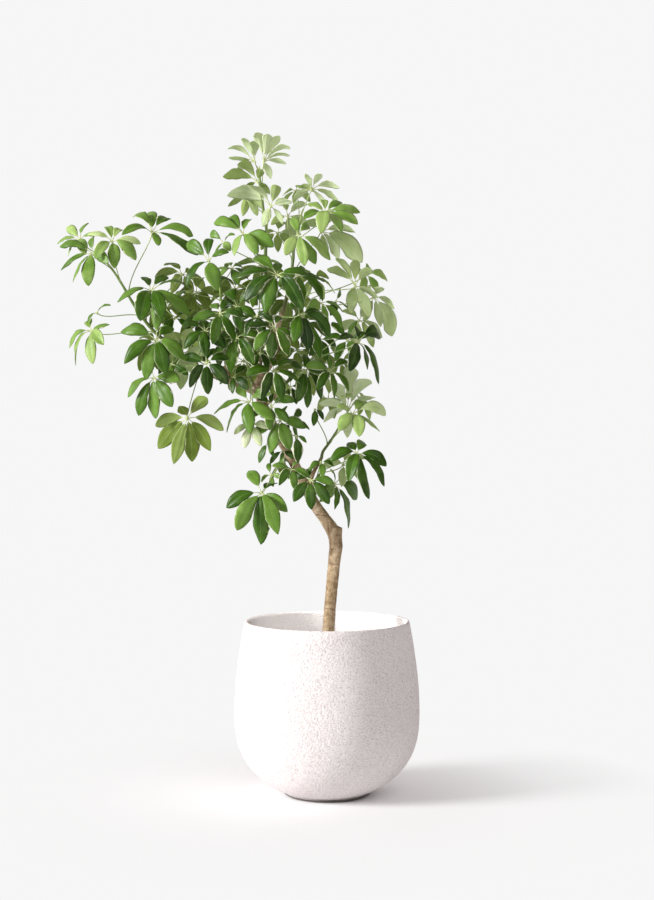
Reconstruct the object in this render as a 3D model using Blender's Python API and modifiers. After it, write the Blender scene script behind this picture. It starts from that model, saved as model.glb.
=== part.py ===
"""Potted umbrella tree: a round stoneware pot, its soil, a bent woody trunk and fifteen leafy stems.

Units are metres, +Z is up, and the origin is the middle of the pot's flat foot. The front faces -Y.
Places on the plant are given in centimetres as (x, z, depth). x and z are read on the upright plane
through the pot's axis, as an eye at EYE sees it, and depth runs from that plane towards the back.
"""

import math
import random

import bmesh
import bpy
from mathutils import Matrix, Vector
from mathutils.bvhtree import BVHTree
from mathutils.kdtree import KDTree

CM = 0.01
MM = 0.001
UP = Vector((0.0, 0.0, 1.0))

# Viewpoint that the places on the plant are read from
EYE = Vector((0.0, -3.0, 0.67))

# Pot: the wall is a superellipse below the belly and leans in gently above it
POT_HEIGHT = 0.290
BELLY_RADIUS = 0.155
BELLY_HEIGHT = 0.140
LOWER_DEPTH = 0.1465
LOWER_POWER = 2.6
RIM_DRAW_IN = 0.017
RIM_POWER = 1.75
FOOT_RADIUS = 0.066
FOOT_ROUNDING = (0.003, 0.0015)
WALL = 0.006
FLOOR = 0.012
LIP_STEPS = 4
POT_SEGMENTS = 32

# Clearance between pieces that touch on the real plant
GAP = 0.0003

# Corners closer than this are one corner
WELD = 0.00001

# Heights of the rings of the pot's inner wall, which the soil's side shares
INNER_HEIGHTS = (0.243, 0.195, 0.140, 0.095, 0.060, 0.035, 0.020)
OUTER_HEIGHTS = (0.255, 0.220, 0.185, 0.140, 0.110, 0.085, 0.062, 0.043, 0.027, 0.015, 0.007)

# Soil: a low mound, and the hole in it that the trunk stands in
SOIL_TOP = INNER_HEIGHTS[0]
SOIL_MOUND = 0.004
MOUND_SHOULDER = (0.06, 0.7)
HOLE_SEGMENTS = 24

# Leafy stems: the straight stretch at the base, and where the first and last leaf grow along it
STEM_LEAD = 0.006
LEAF_SPAN = (0.15, 0.98)

# Leaves: a blade's thickness, the hub that its leaflets meet in, and the thin stalk below it
BLADE = 0.0009
HUB_RADIUS = 0.0032
PETIOLE_RADIUS = 0.0010
PETIOLE_SPANS = 3
PETIOLE_ALONG_STEM = 0.45
PETIOLE_RISE = 0.35
PETIOLE_ARRIVAL = 0.30
SEED = 11

# How leaves are kept apart: rods are beads BEAD_STEP apart, and blades and rods stay CLEAR of each
# other, except for a stalk's first ROOT_BEADS beads, which are sunk in their stem. A leaf that
# meets something moves along its line of sight, in centimetres, or twists and leans, in degrees.
CLEAR = 0.0016
BEAD_STEP = 0.003
ROOT_BEADS = 3
LONGEST = 0.090
THICKEST = 0.012
SHIFTS = (0.0, -0.7, 0.7, -1.4, 1.4, -2.1, 2.1, -2.8, 2.8, -3.5, 3.5, -4.2, 4.2, -5.0, 5.0)
TURNS = ((0.0, 0.0), (8.0, 0.0), (-8.0, 0.0), (0.0, 10.0), (0.0, -10.0), (16.0, 0.0), (-16.0, 0.0),
         (8.0, 15.0), (-8.0, -15.0))


def seen(x, z, depth):
    """The point that appears at (x, z) centimetres on the upright plane, moved back by depth."""
    on_plane = Vector((x * CM, 0.0, z * CM))
    return EYE + (on_plane - EYE) * (1.0 + depth * CM / -EYE.y)


# Woody trunk: (x, z, depth, radius), from its root end in the soil to its fork
TRUNK = (
    (0.2, 18.5, 0.0, 1.05),
    (0.2, 22.0, 0.0, 1.05),
    (0.2, 25.5, 0.0, 1.03),
    (0.4, 30.0, 0.0, 1.00),
    (0.8, 34.5, 0.0, 1.00),
    (1.2, 38.8, 0.0, 1.04),
    (1.5, 41.8, 0.0, 1.12),
    (1.0, 44.0, 0.0, 1.16),
    (-0.3, 46.0, 0.0, 1.00),
    (-1.8, 48.1, 0.1, 0.95),
    (-3.3, 50.8, 0.3, 0.90),
    (-4.8, 54.0, 0.5, 0.84),
    (-6.6, 57.2, 0.7, 0.77),
    (-8.4, 60.5, 0.9, 0.74),
    (-10.0, 63.8, 1.0, 0.72),
    (-11.3, 66.6, 1.0, 0.80),
    (-11.5, 68.8, 0.8, 0.68),
    (-10.5, 70.7, 0.6, 0.64),
    (-9.3, 72.5, 0.4, 0.60),
    (-8.9, 75.2, 0.3, 0.56),
)

# Woody stub of the stem that was cut above the trunk's bend
STUB = (
    (1.4, 41.6, 0.0, 1.00),
    (1.6, 43.2, 0.0, 0.92),
    (1.75, 44.7, 0.0, 0.84),
)

# Woody branches and spurs: each ends in a flat face that one leafy stem grows on from
WOOD = {
    "leader_left": ((-8.9, 75.0, 0.3, 0.50), (-9.1, 78.0, 0.8, 0.44), (-9.6, 81.0, 1.2, 0.38)),
    "leader_right": ((-8.9, 75.0, 0.3, 0.50), (-8.3, 78.0, -0.2, 0.42), (-7.5, 80.5, -0.8, 0.36)),
    "front": ((-9.0, 73.6, 0.4, 0.36), (-9.1, 75.4, -1.6, 0.32), (-9.2, 77.2, -3.0, 0.28)),
    "right_up": ((-9.0, 73.2, 0.4, 0.36), (-7.8, 75.2, 1.6, 0.32), (-6.9, 77.0, 2.4, 0.28)),
    "left_end": (
        (-11.3, 66.8, 1.0, 0.55),
        (-14.5, 68.3, 0.5, 0.46),
        (-18.0, 69.6, 0.0, 0.42),
        (-21.0, 71.0, -0.4, 0.38),
        (-24.0, 73.2, -0.6, 0.34),
    ),
    "left_low": ((-20.0, 70.5, -0.3, 0.32), (-20.5, 70.3, -1.7, 0.30), (-20.9, 70.6, -2.8, 0.26)),
    "left_up": ((-16.2, 68.9, 0.2, 0.34), (-16.6, 70.4, 0.4, 0.32), (-16.9, 71.9, 0.5, 0.30)),
    "centre_low": ((-11.5, 67.6, 0.9, 0.34), (-12.0, 68.0, -0.8, 0.30), (-12.4, 68.7, -1.8, 0.26)),
    "right_mid": ((-10.5, 64.9, 1.0, 0.34), (-9.2, 66.1, 0.6, 0.30), (-8.1, 67.2, 0.4, 0.26)),
    "right_low": ((-3.3, 50.8, 0.3, 0.44), (-2.5, 53.3, 0.3, 0.38), (-1.2, 55.8, 0.3, 0.30)),
    "low_right": ((-3.2, 50.4, 0.2, 0.32), (-2.6, 51.3, -1.2, 0.30), (-2.2, 52.1, -2.2, 0.26)),
    "low_left": ((-4.7, 53.7, 0.5, 0.32), (-5.6, 54.0, -0.6, 0.30), (-6.3, 54.4, -1.4, 0.26)),
    "trunk_side": ((-7.7, 59.3, 0.8, 0.30), (-8.3, 59.8, -0.4, 0.28), (-8.7, 60.6, -1.2, 0.24)),
    "back": ((-10.9, 70.0, 0.7, 0.36), (-11.0, 71.0, 2.2, 0.32), (-11.1, 72.2, 3.6, 0.28)),
    "back_left": ((-21.5, 71.4, -0.4, 0.32), (-21.8, 72.0, 1.0, 0.30), (-22.1, 73.0, 2.2, 0.26)),
}

# Leafy stems: the route of each beyond its woody end, its radius at the tip, and its leaves from
# the base up. A leaf is (x, z, depth, reach, pan, tilt, tips). Its upper side leans by tilt degrees
# towards pan, which is 0 at the front and 90 on the right. tips are the places (x, z) that its
# leaflets' ends are seen at, or only the number of leaflets where the crown hides them.
STEMS = {
    "leader_left": {
        "route": ((-10.2, 85.0, 1.5), (-10.3, 90.7, 1.5), (-10.1, 94.1, 1.2), (-10.6, 97.3, 1.0),
                  (-11.0, 101.0, 0.8), (-11.4, 104.2, 0.6)),
        "tip": 0.18,
        "leaves": (
            (-14.1, 93.8, -4.0, 6.0, -20, 50,
             ((-19.0, 95.6), (-16.6, 96.4), (-15.5, 90.1), (-12.8, 96.2), (-11.6, 90.3), (-8.9, 91.6))),
            (-9.4, 98.4, -2.0, 7.6, 165, 52,
             ((-16.8, 100.3), (-13.0, 101.9), (-8.4, 102.0), (-5.9, 99.3), (-7.4, 95.4), (-10.8, 95.0))),
            (-11.6, 102.5, -1.5, 6.0, -165, 40,
             ((-17.5, 103.4), (-14.9, 105.6), (-10.9, 104.6), (-9.6, 100.4), (-14.0, 100.8))),
            (-10.6, 105.9, 1.5, 5.4, 175, 50,
             ((-11.9, 110.8), (-9.9, 110.6), (-8.0, 110.3), (-6.2, 108.4), (-6.2, 107.0), (-6.8, 105.6),
              (-9.4, 103.0))),
            (-12.1, 105.9, -1.5, 5.0, -170, 50,
             ((-16.7, 108.1), (-16.5, 106.6), (-13.9, 109.9), (-12.3, 109.4), (-15.2, 104.3))),
        ),
    },
    "leader_right": {
        "route": ((-6.6, 84.0, -1.2), (-5.9, 87.7, -1.4), (-5.5, 91.5, -1.3), (-4.8, 94.3, -1.0),
                  (-4.3, 97.0, -0.6)),
        "tip": 0.16,
        "leaves": (
            (-4.9, 93.5, -5.0, 6.0, 15, 60,
             ((-3.8, 88.4), (-1.9, 88.7), (0.6, 89.4), (-5.9, 96.6), (-7.0, 90.2), (-2.9, 94.9))),
            (-1.0, 94.2, 2.0, 6.8, 170, 60,
             ((5.9, 89.0), (4.8, 94.0), (2.0, 89.6), (-0.2, 90.4), (-4.2, 95.5), (1.2, 97.6))),
            (-6.6, 96.8, 5.0, 5.2, 175, 50,
             ((-9.4, 95.3), (-7.4, 99.9), (-3.3, 98.8), (-3.1, 95.2), (-5.8, 92.6))),
            (-0.3, 97.2, -4.5, 6.0, 10, 35,
             ((5.6, 97.4), (5.2, 95.4), (2.5, 94.0), (-1.0, 93.9), (-3.9, 96.4), (-3.2, 98.9),
              (-0.7, 99.4), (2.5, 99.1))),
            (-5.2, 101.0, 3.0, 3.6, -150, 30, 6),
            (-2.6, 101.2, 0.0, 5.0, 165, 45,
             ((-3.5, 103.9), (-1.0, 103.9), (2.1, 101.5), (1.9, 99.3), (-0.2, 98.4), (-5.6, 99.6))),
        ),
    },
    "front": {
        "route": ((-9.3, 79.6, -4.4), (-9.5, 82.0, -5.4), (-9.4, 84.0, -6.2)),
        "tip": 0.16,
        "leaves": (
            (-8.9, 78.1, -10.0, 5.6, 5, 62,
             ((-9.4, 72.9), (-12.2, 74.2), (-13.4, 78.3), (-5.6, 76.6), (-6.4, 73.2), (-10.4, 79.9),
              (-7.6, 79.8))),
            (-4.6, 80.3, -8.0, 6.6, 30, 58,
             ((-5.6, 75.6), (-3.2, 74.3), (-1.1, 72.9), (0.5, 76.4), (-0.6, 80.3), (-6.4, 81.6))),
            (-15.0, 81.5, -3.0, 5.2, -40, 50,
             ((-18.4, 81.4), (-17.1, 83.9), (-16.8, 78.2), (-13.6, 77.6), (-11.2, 80.0), (-13.9, 83.0))),
            (-5.2, 87.0, -3.0, 5.4, 35, 55,
             ((-2.8, 82.4), (0.2, 83.2), (-4.4, 88.6), (-0.6, 86.9), (-7.0, 84.0))),
            (-8.3, 86.9, -9.5, 7.2, -5, 62,
             ((-15.4, 87.3), (-14.4, 83.2), (-11.4, 80.6), (-4.9, 80.5), (-3.1, 86.2),
              (-11.7, 90.2), (-7.6, 88.9))),
        ),
    },
    "right_up": {
        "route": ((-5.8, 79.0, 2.8), (-4.6, 81.5, 2.9), (-3.4, 83.6, 2.6)),
        "tip": 0.16,
        "leaves": (
            (-1.2, 82.2, -3.0, 5.2, 50, 55,
             ((2.7, 80.6), (2.6, 77.9), (0.0, 77.7), (-3.8, 79.5), (-1.6, 84.2))),
            (7.8, 83.2, -2.0, 7.2, 150, 68,
             ((10.9, 76.6), (9.0, 78.2), (11.3, 81.2), (6.2, 78.9), (6.3, 84.4), (8.9, 84.8))),
            (6.3, 86.9, 4.0, 4.4, 60, 50,
             ((8.6, 84.0), (10.0, 86.2), (6.0, 83.2), (4.6, 86.6), (6.6, 88.4))),
            (4.7, 85.1, -1.0, 5.8, 172, 62,
             ((1.0, 89.0), (2.9, 90.4), (5.9, 89.3), (8.4, 87.0), (7.9, 82.1), (5.7, 79.4), (2.6, 80.9))),
        ),
    },
    "left_end": {
        "route": ((-26.6, 75.4, -0.8), (-29.0, 77.5, -1.0), (-31.0, 79.9, -1.0), (-32.7, 82.5, -0.8),
                  (-34.2, 85.1, -0.5), (-35.8, 87.6, 0.0), (-37.6, 89.8, 0.5)),
        "tip": 0.16,
        "leaves": (
            (-28.6, 76.0, -6.5, 6.9, -5, 64,
             ((-34.6, 77.4), (-34.0, 72.0), (-30.4, 69.3), (-27.0, 70.3), (-23.6, 72.4), (-28.2, 82.9),
              (-25.6, 77.9))),
            (-39.5, 77.6, -2.0, 6.2, -45, 58,
             ((-43.2, 74.6), (-42.1, 71.6), (-39.2, 72.0), (-37.4, 75.2), (-39.8, 79.3), (-36.4, 78.6))),
            (-24.3, 87.0, 4.0, 5.2, 150, 40, 6),
            (-29.5, 84.3, -3.0, 7.0, 5, 42,
             ((-35.2, 82.3), (-31.3, 79.2), (-27.6, 79.6), (-23.0, 80.2), (-22.4, 84.2), (-26.6, 86.6),
              (-30.8, 86.6))),
            (-29.3, 94.0, 4.0, 6.8, 25, 35,
             ((-32.6, 96.6), (-34.4, 93.6), (-30.0, 97.4), (-26.4, 96.2), (-22.4, 93.4), (-21.6, 90.2),
              (-28.2, 91.8))),
            (-36.0, 92.5, -3.0, 5.2, 10, 45,
             ((-40.2, 93.8), (-36.9, 95.0), (-34.5, 94.5), (-31.2, 92.2), (-32.0, 89.4), (-35.6, 88.0),
              (-38.9, 89.6))),
            (-39.2, 90.4, -3.5, 6.2, -35, 45,
             ((-45.4, 90.6), (-44.5, 86.8), (-41.4, 85.6), (-38.4, 85.6), (-35.6, 89.8), (-40.2, 92.6))),
            (-41.4, 92.8, 0.0, 4.6, -50, 35,
             ((-44.2, 94.5), (-45.5, 91.9), (-42.9, 90.2), (-39.9, 90.6), (-37.9, 93.8), (-40.6, 95.2))),
        ),
    },
    "left_low": {
        "route": ((-21.5, 71.5, -4.2), (-22.2, 72.6, -5.4)),
        "tip": 0.18,
        "leaves": (
            (-23.4, 62.9, -5.5, 7.6, 175, 72,
             ((-28.8, 61.6), (-28.3, 57.8), (-25.7, 55.2), (-22.6, 55.6), (-19.5, 57.4), (-17.3, 60.9),
              (-20.0, 66.3), (-24.9, 64.9))),
            (-29.0, 69.7, -4.5, 6.8, -25, 60,
             ((-33.4, 66.4), (-31.6, 63.3), (-28.7, 62.8), (-25.9, 64.8), (-24.6, 69.2), (-29.6, 71.4))),
            (-24.4, 73.8, 2.5, 6.2, 175, 65,
             ((-26.9, 77.8), (-22.0, 77.6), (-20.4, 73.2), (-22.2, 69.2), (-25.4, 67.8), (-28.6, 71.4))),
            (-20.4, 77.6, -4.0, 5.2, -30, 55,
             ((-24.2, 74.9), (-23.9, 79.0), (-20.4, 79.6), (-17.4, 78.6), (-17.6, 74.2), (-21.0, 73.0))),
            (-20.2, 72.1, -9.0, 5.4, 0, 66,
             ((-20.6, 76.6), (-24.6, 73.0), (-23.0, 68.0), (-19.9, 66.9), (-16.6, 68.6), (-16.4, 73.0))),
        ),
    },
    "left_up": {
        "route": ((-17.2, 75.0, 0.6), (-17.5, 79.0, 0.4), (-17.8, 83.0, 0.2), (-18.0, 85.2, 0.0)),
        "tip": 0.16,
        "leaves": (
            (-15.2, 76.3, -6.5, 6.0, -10, 58,
             ((-19.2, 73.4), (-16.2, 70.4), (-12.2, 71.8), (-10.9, 76.2), (-14.2, 78.6), (-17.9, 78.0))),
            (-17.9, 80.5, -9.0, 5.6, 5, 60,
             ((-19.2, 75.3), (-15.4, 75.9), (-13.4, 79.8), (-16.8, 82.8), (-19.5, 82.0), (-22.6, 79.4))),
            (-21.9, 84.0, 3.0, 5.0, -150, 50, 6),
            (-19.8, 89.2, -4.0, 6.0, -20, 55,
             ((-23.6, 84.9), (-18.3, 84.2), (-23.6, 92.0), (-19.6, 93.0), (-16.4, 90.7))),
        ),
    },
    "centre_low": {
        "route": ((-12.9, 70.0, -3.0), (-13.3, 71.6, -4.2)),
        "tip": 0.18,
        "leaves": (
            (-12.6, 61.8, -4.0, 4.2, -20, 65,
             ((-15.6, 60.2), (-13.8, 57.9), (-11.0, 58.2), (-9.4, 61.2), (-12.2, 63.6))),
            (-13.1, 65.7, -5.0, 6.4, -30, 52,
             ((-19.0, 63.6), (-16.8, 60.4), (-12.8, 60.2), (-8.9, 62.6), (-9.4, 67.0), (-15.2, 68.2))),
            (-9.0, 70.8, -6.5, 5.6, 15, 60,
             ((-11.0, 65.8), (-7.6, 65.8), (-4.4, 68.6), (-5.6, 72.4), (-9.2, 73.0), (-13.6, 70.2))),
            (-13.7, 76.6, 4.0, 5.8, 15, 62,
             ((-11.0, 71.5), (-15.2, 71.0), (-18.6, 74.6), (-8.8, 75.8), (-12.4, 79.0), (-15.6, 78.8))),
        ),
    },
    "right_mid": {
        "route": ((-6.4, 69.4, 0.2), (-4.7, 71.3, 0.1), (-3.0, 72.6, 0.0)),
        "tip": 0.18,
        "leaves": (
            (-4.0, 70.8, -3.0, 6.2, 45, 68,
             ((-5.6, 66.1), (-3.9, 64.6), (-1.4, 65.8), (0.4, 70.2), (-3.2, 73.2), (-6.2, 72.4))),
            (-3.2, 71.3, 5.0, 5.2, 150, 60, 6),
            (0.5, 70.6, -2.5, 5.0, 25, 50,
             ((3.6, 67.4), (1.2, 66.2), (-1.6, 67.6), (-3.6, 71.6), (0.2, 72.8), (3.6, 72.4))),
            (5.4, 79.3, 2.5, 5.2, 160, 60,
             ((8.4, 75.6), (6.6, 74.4), (3.2, 75.4), (1.4, 78.6), (3.2, 81.4), (7.4, 80.8))),
            (3.5, 75.9, 1.0, 4.6, -20, 42,
             ((-0.6, 76.6), (1.4, 79.4), (5.4, 79.2), (6.9, 76.2), (4.4, 72.4), (1.0, 72.8))),
            (4.9, 75.6, -3.0, 7.0, 55, 55,
             ((8.3, 68.3), (6.2, 71.2), (3.0, 71.4), (9.4, 75.6), (1.6, 76.6), (5.4, 77.8))),
        ),
    },
    "right_low": {
        "route": ((-0.7, 57.3, 0.2), (0.3, 58.7, 0.1), (1.3, 60.2, 0.0), (2.2, 61.8, 0.0)),
        "tip": 0.18,
        "leaves": (
            (4.3, 63.6, -3.0, 5.8, 40, 40,
             ((5.4, 59.8), (8.9, 60.6), (9.9, 63.4), (2.0, 60.8), (1.6, 64.8), (6.0, 65.6))),
            (3.4, 64.2, 1.0, 7.4, 175, 55,
             ((1.4, 68.9), (8.0, 66.4), (-1.4, 65.4), (-0.6, 62.2), (4.1, 71.6), (7.2, 69.4),
              (3.4, 59.6))),
        ),
    },
    "low_right": {
        "route": ((-1.6, 53.0, -3.2), (-1.0, 53.9, -3.8)),
        "tip": 0.18,
        "leaves": (
            (-2.8, 52.5, -5.0, 5.4, -5, 58,
             ((-5.6, 48.9), (-2.6, 47.6), (0.4, 48.5), (1.2, 52.0), (-6.6, 52.8), (-3.2, 54.4))),
            (1.2, 51.8, -2.0, 7.8, 60, 62,
             ((3.1, 44.1), (5.0, 48.4), (0.9, 47.8), (-1.6, 49.8), (3.6, 53.2), (0.8, 53.8))),
            (2.7, 55.1, 2.0, 4.8, 60, 45,
             ((5.8, 52.4), (6.9, 56.2), (2.4, 51.4), (-0.8, 54.6), (2.8, 57.2))),
            (5.0, 56.9, -4.0, 7.6, 15, 52,
             ((0.5, 55.7), (3.6, 52.2), (7.1, 49.3), (9.6, 51.4), (10.0, 54.9), (6.2, 58.9), (3.4, 58.8))),
        ),
    },
    "low_left": {
        "route": ((-7.0, 55.0, -2.2), (-7.4, 55.8, -3.0)),
        "tip": 0.18,
        "leaves": (
            (-6.0, 54.3, -4.5, 3.8, 10, 63,
             ((-7.6, 51.4), (-4.9, 50.9), (-2.7, 53.2), (-5.0, 55.8), (-9.2, 54.6))),
            (-7.5, 55.6, 1.5, 4.4, -100, 50, 6),
            (-11.0, 50.4, -5.0, 8.4, -5, 66,
             ((-16.9, 47.9), (-15.1, 44.1), (-11.1, 41.7), (-8.2, 43.4), (-6.6, 47.2), (-13.2, 54.1),
              (-8.6, 51.9))),
        ),
    },
    "trunk_side": {
        "route": ((-9.0, 61.5, -1.9), (-9.2, 62.5, -2.6)),
        "tip": 0.16,
        "leaves": (
            (-7.8, 62.6, -4.5, 5.8, -15, 60,
             ((-12.4, 59.8), (-9.6, 57.0), (-6.2, 57.6), (-3.6, 61.2), (-7.0, 64.8), (-11.2, 63.6))),
            (-6.1, 62.2, -1.5, 4.0, 35, 60,
             ((-7.9, 59.0), (-5.0, 58.4), (-2.9, 61.0), (-4.2, 64.0), (-7.8, 63.6))),
            (-9.3, 64.9, -7.0, 4.4, -10, 58,
             ((-12.8, 63.4), (-10.2, 60.9), (-7.0, 61.8), (-5.4, 65.2), (-8.8, 67.0), (-11.4, 66.6))),
        ),
    },
    "back": {
        "route": ((-11.3, 74.4, 5.2), (-11.5, 77.2, 6.6), (-11.4, 80.0, 7.4)),
        "tip": 0.16,
        "leaves": (
            (-5.0, 74.5, 10.0, 6.0, 150, 55, 7),
            (-14.0, 72.5, 12.0, 6.2, -160, 60, 7),
            (-6.5, 83.0, 11.5, 6.2, 160, 50, 7),
            (-15.5, 84.5, 12.0, 6.0, -160, 45, 7),
            (-11.0, 88.5, 9.5, 5.6, 170, 35, 7),
        ),
    },
    "back_left": {
        "route": ((-22.5, 74.4, 3.6), (-23.0, 76.2, 5.0), (-23.4, 78.2, 6.0)),
        "tip": 0.16,
        "leaves": (
            (-28.5, 75.5, 9.0, 6.0, -150, 50, 7),
            (-20.5, 79.5, 11.0, 6.0, 165, 50, 7),
            (-27.0, 81.5, 8.5, 5.6, -160, 38, 7),
        ),
    },
}

# Leaflets: half width along the length, both as shares of that length, and the share of the room
# between two neighbours that a leaflet may fill. At the hub none spreads more than HUB_SPREAD
# degrees to a side. Each arches out of its plane and upwards. Hidden leaflets are evenly spaced
# but for a sway in degrees, and sink below the leaf's plane. The end of one that is seen lies on
# that plane, or past it where it points away from the eye, by at least the share FAR_SIDE of what
# the leaf's reach leaves over. FLATTEST keeps a plane seen edge-on from throwing an end too far.
LEAFLET = ((0.50, 0.180), (0.80, 0.165))
LEAFLET_ROOM = 0.80
LEAFLET_SWAY = 7.0
LEAFLET_SHORTEST = 0.86
HUB_SPREAD = 55.0
ARCH_OUT = 0.10
ARCH_UP = 0.07
ARCH_RANGE = (0.7, 1.3)
HIDDEN_SINK = 0.45
FAR_SIDE = 0.55
FLATTEST = 0.12

# Colours and roughness
POT_FINISH = ((0.80, 0.76, 0.73), 0.85)
SOIL_FINISH = ((0.07, 0.045, 0.03), 0.95)
WOOD_FINISH = ((0.42, 0.29, 0.18), 0.80)
LEAF_FINISH = ((0.06, 0.16, 0.04), 0.38)
SHARP_ANGLE = 35.0

# Sides of the tubes, as the roundness that tube() takes
TRUNK_ROUNDNESS = 3
STUB_ROUNDNESS = 2
BRANCH_ROUNDNESS = 1
STALK_ROUNDNESS = 0


def clear_scene():
    for obj in list(bpy.data.objects):
        bpy.data.objects.remove(obj, do_unlink=True)


def finish(obj, kind, look):
    """Give the object a material of its own, shaded smooth except at its edges."""
    color, roughness = look
    made = bpy.data.materials.new(f"{kind}_{obj.name}")
    made.use_nodes = True
    shader = made.node_tree.nodes["Principled BSDF"]
    shader.inputs["Base Color"].default_value = (*color, 1.0)
    shader.inputs["Roughness"].default_value = roughness
    shader.inputs["Metallic"].default_value = 0.0
    made.diffuse_color = (*color, 1.0)
    obj.data.materials.clear()
    obj.data.materials.append(made)
    obj.data.shade_smooth()
    obj.data.set_sharp_from_angle(angle=math.radians(SHARP_ANGLE))


def add_object(name, mesh, collection):
    obj = bpy.data.objects.new(name, mesh)
    collection.objects.link(obj)
    return obj


def evaluated_mesh(obj):
    """The object's mesh with its modifiers done and the loose caps of a curve welded on."""
    graph = bpy.context.evaluated_depsgraph_get()
    mesh = bpy.data.meshes.new_from_object(obj.evaluated_get(graph))
    work = bmesh.new()
    work.from_mesh(mesh)
    bmesh.ops.remove_doubles(work, verts=work.verts, dist=WELD)
    work.to_mesh(mesh)
    work.free()
    return mesh


def tube(name, points, radii, roundness, collection):
    """A closed tube through the points. roundness 0 gives 4 sides, 1 gives 6 and so on."""
    curve = bpy.data.curves.new(name, "CURVE")
    curve.dimensions = "3D"
    curve.bevel_depth = MM
    curve.bevel_resolution = roundness
    curve.use_fill_caps = True
    spline = curve.splines.new("POLY")
    spline.points.add(len(points) - 1)
    for knot, point, radius in zip(spline.points, points, radii):
        knot.co = (*point, 1.0)
        knot.radius = radius / MM
    guide = add_object(name + "_guide", curve, collection)
    mesh = evaluated_mesh(guide)
    bpy.data.objects.remove(guide, do_unlink=True)
    return add_object(name, mesh, collection)


def join(base, collection, solver="EXACT"):
    """Fuse every object of the collection into base and remove them."""
    union = base.modifiers.new("union", "BOOLEAN")
    union.operation = "UNION"
    union.operand_type = "COLLECTION"
    union.collection = collection
    union.solver = solver
    mesh = evaluated_mesh(base)
    base.modifiers.remove(union)
    base.data = mesh
    for obj in list(collection.objects):
        bpy.data.objects.remove(obj, do_unlink=True)


def wall_radius(z, inset):
    """Radius of the pot's wall at height z, or of a surface inset from it."""
    radius = BELLY_RADIUS - inset
    if z < BELLY_HEIGHT:
        share = (BELLY_HEIGHT - z) / (LOWER_DEPTH - inset)
        return radius * math.sqrt(max(0.0, 1.0 - share ** LOWER_POWER))
    share = (z - BELLY_HEIGHT) / (POT_HEIGHT - BELLY_HEIGHT)
    return radius - RIM_DRAW_IN * share ** RIM_POWER


def turned(name, profile, collection):
    """A closed turned solid. The profile runs from the axis round its outer side to the axis."""
    mesh = bpy.data.meshes.new(name)
    edges = [(i, i + 1) for i in range(len(profile) - 1)]
    mesh.from_pydata([(radius, 0.0, z) for radius, z in profile], edges, [])
    obj = add_object(name, mesh, collection)
    screw = obj.modifiers.new("turn", "SCREW")
    screw.steps = POT_SEGMENTS
    screw.render_steps = POT_SEGMENTS
    screw.use_smooth_shade = True
    screw.use_merge_vertices = True
    screw.merge_threshold = WELD
    return obj


def make_pot(collection):
    lip = WALL / 2
    lip_middle = wall_radius(POT_HEIGHT - lip, 0.0) - lip
    inner = [FLOOR, *reversed(INNER_HEIGHTS), POT_HEIGHT - lip]
    profile = [(0.0, FLOOR)]
    profile += [(wall_radius(z, WALL), z) for z in inner]
    for step in range(1, LIP_STEPS):
        angle = math.pi * (1.0 - step / LIP_STEPS)
        profile.append((lip_middle + lip * math.cos(angle), POT_HEIGHT - lip + lip * math.sin(angle)))
    profile += [(wall_radius(z, 0.0), z) for z in (POT_HEIGHT - lip, *OUTER_HEIGHTS)]
    profile += [(FOOT_RADIUS + FOOT_ROUNDING[0], FOOT_ROUNDING[1]), (FOOT_RADIUS, 0.0), (0.0, 0.0)]
    pot = turned("pot", profile, collection)
    finish(pot, "stoneware", POT_FINISH)


def make_soil(collection, cutters):
    """Soil with a slight mound, and the plain hole that the trunk stands in."""
    inset = WALL + GAP
    shoulder, height = MOUND_SHOULDER
    profile = [(0.0, SOIL_TOP + SOIL_MOUND), (shoulder, SOIL_TOP + SOIL_MOUND * height)]
    profile += [(wall_radius(z, inset), z) for z in (*INNER_HEIGHTS, FLOOR + GAP)]
    profile.append((0.0, FLOOR + GAP))
    soil = turned("soil", profile, collection)
    finish(soil, "peat", SOIL_FINISH)

    root = seen(*TRUNK[0][:3])
    depth = 2 * (POT_HEIGHT - root.z)
    radius = TRUNK[0][3] * CM + 2 * GAP
    work = bmesh.new()
    bmesh.ops.create_cone(work, cap_ends=True, segments=HOLE_SEGMENTS, radius1=radius, radius2=radius,
                          depth=depth)
    mesh = bpy.data.meshes.new("trunk_hole")
    work.to_mesh(mesh)
    work.free()
    hole = add_object("trunk_hole", mesh, cutters)
    hole.location = (root.x, root.y, root.z - GAP + depth / 2)
    hole.hide_render = True
    hole.display_type = "WIRE"
    cut = soil.modifiers.new("trunk_hole", "BOOLEAN")
    cut.operation = "DIFFERENCE"
    cut.object = hole


def make_trunk(collection, work, crown):
    """Trunk, stub, branches and spurs, fused into one woody solid."""
    points = [seen(*knot[:3]) for knot in TRUNK]
    radii = [knot[3] * CM for knot in TRUNK]
    trunk = tube("trunk", points, radii, TRUNK_ROUNDNESS, collection)
    crown.add_rod("trunk", points, radii)
    for name, knots in [("stub", STUB)] + list(WOOD.items()):
        points = [seen(*knot[:3]) for knot in knots]
        radii = [knot[3] * CM for knot in knots]
        tube(name + "_wood", points, radii, STUB_ROUNDNESS if name == "stub" else BRANCH_ROUNDNESS, work)
        crown.add_rod("trunk", points, radii)
    join(trunk, work)
    finish(trunk, "bark", WOOD_FINISH)


def leaf_frame(pan, tilt):
    """Normal, uphill and sideways directions of a leaf's plane."""
    pan = math.radians(pan)
    tilt = math.radians(tilt)
    lean = Vector((math.sin(pan), -math.cos(pan), 0.0))
    normal = lean * math.sin(tilt) + UP * math.cos(tilt)
    uphill = UP * math.sin(tilt) - lean * math.cos(tilt)
    return normal, uphill, uphill.cross(normal)


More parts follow.
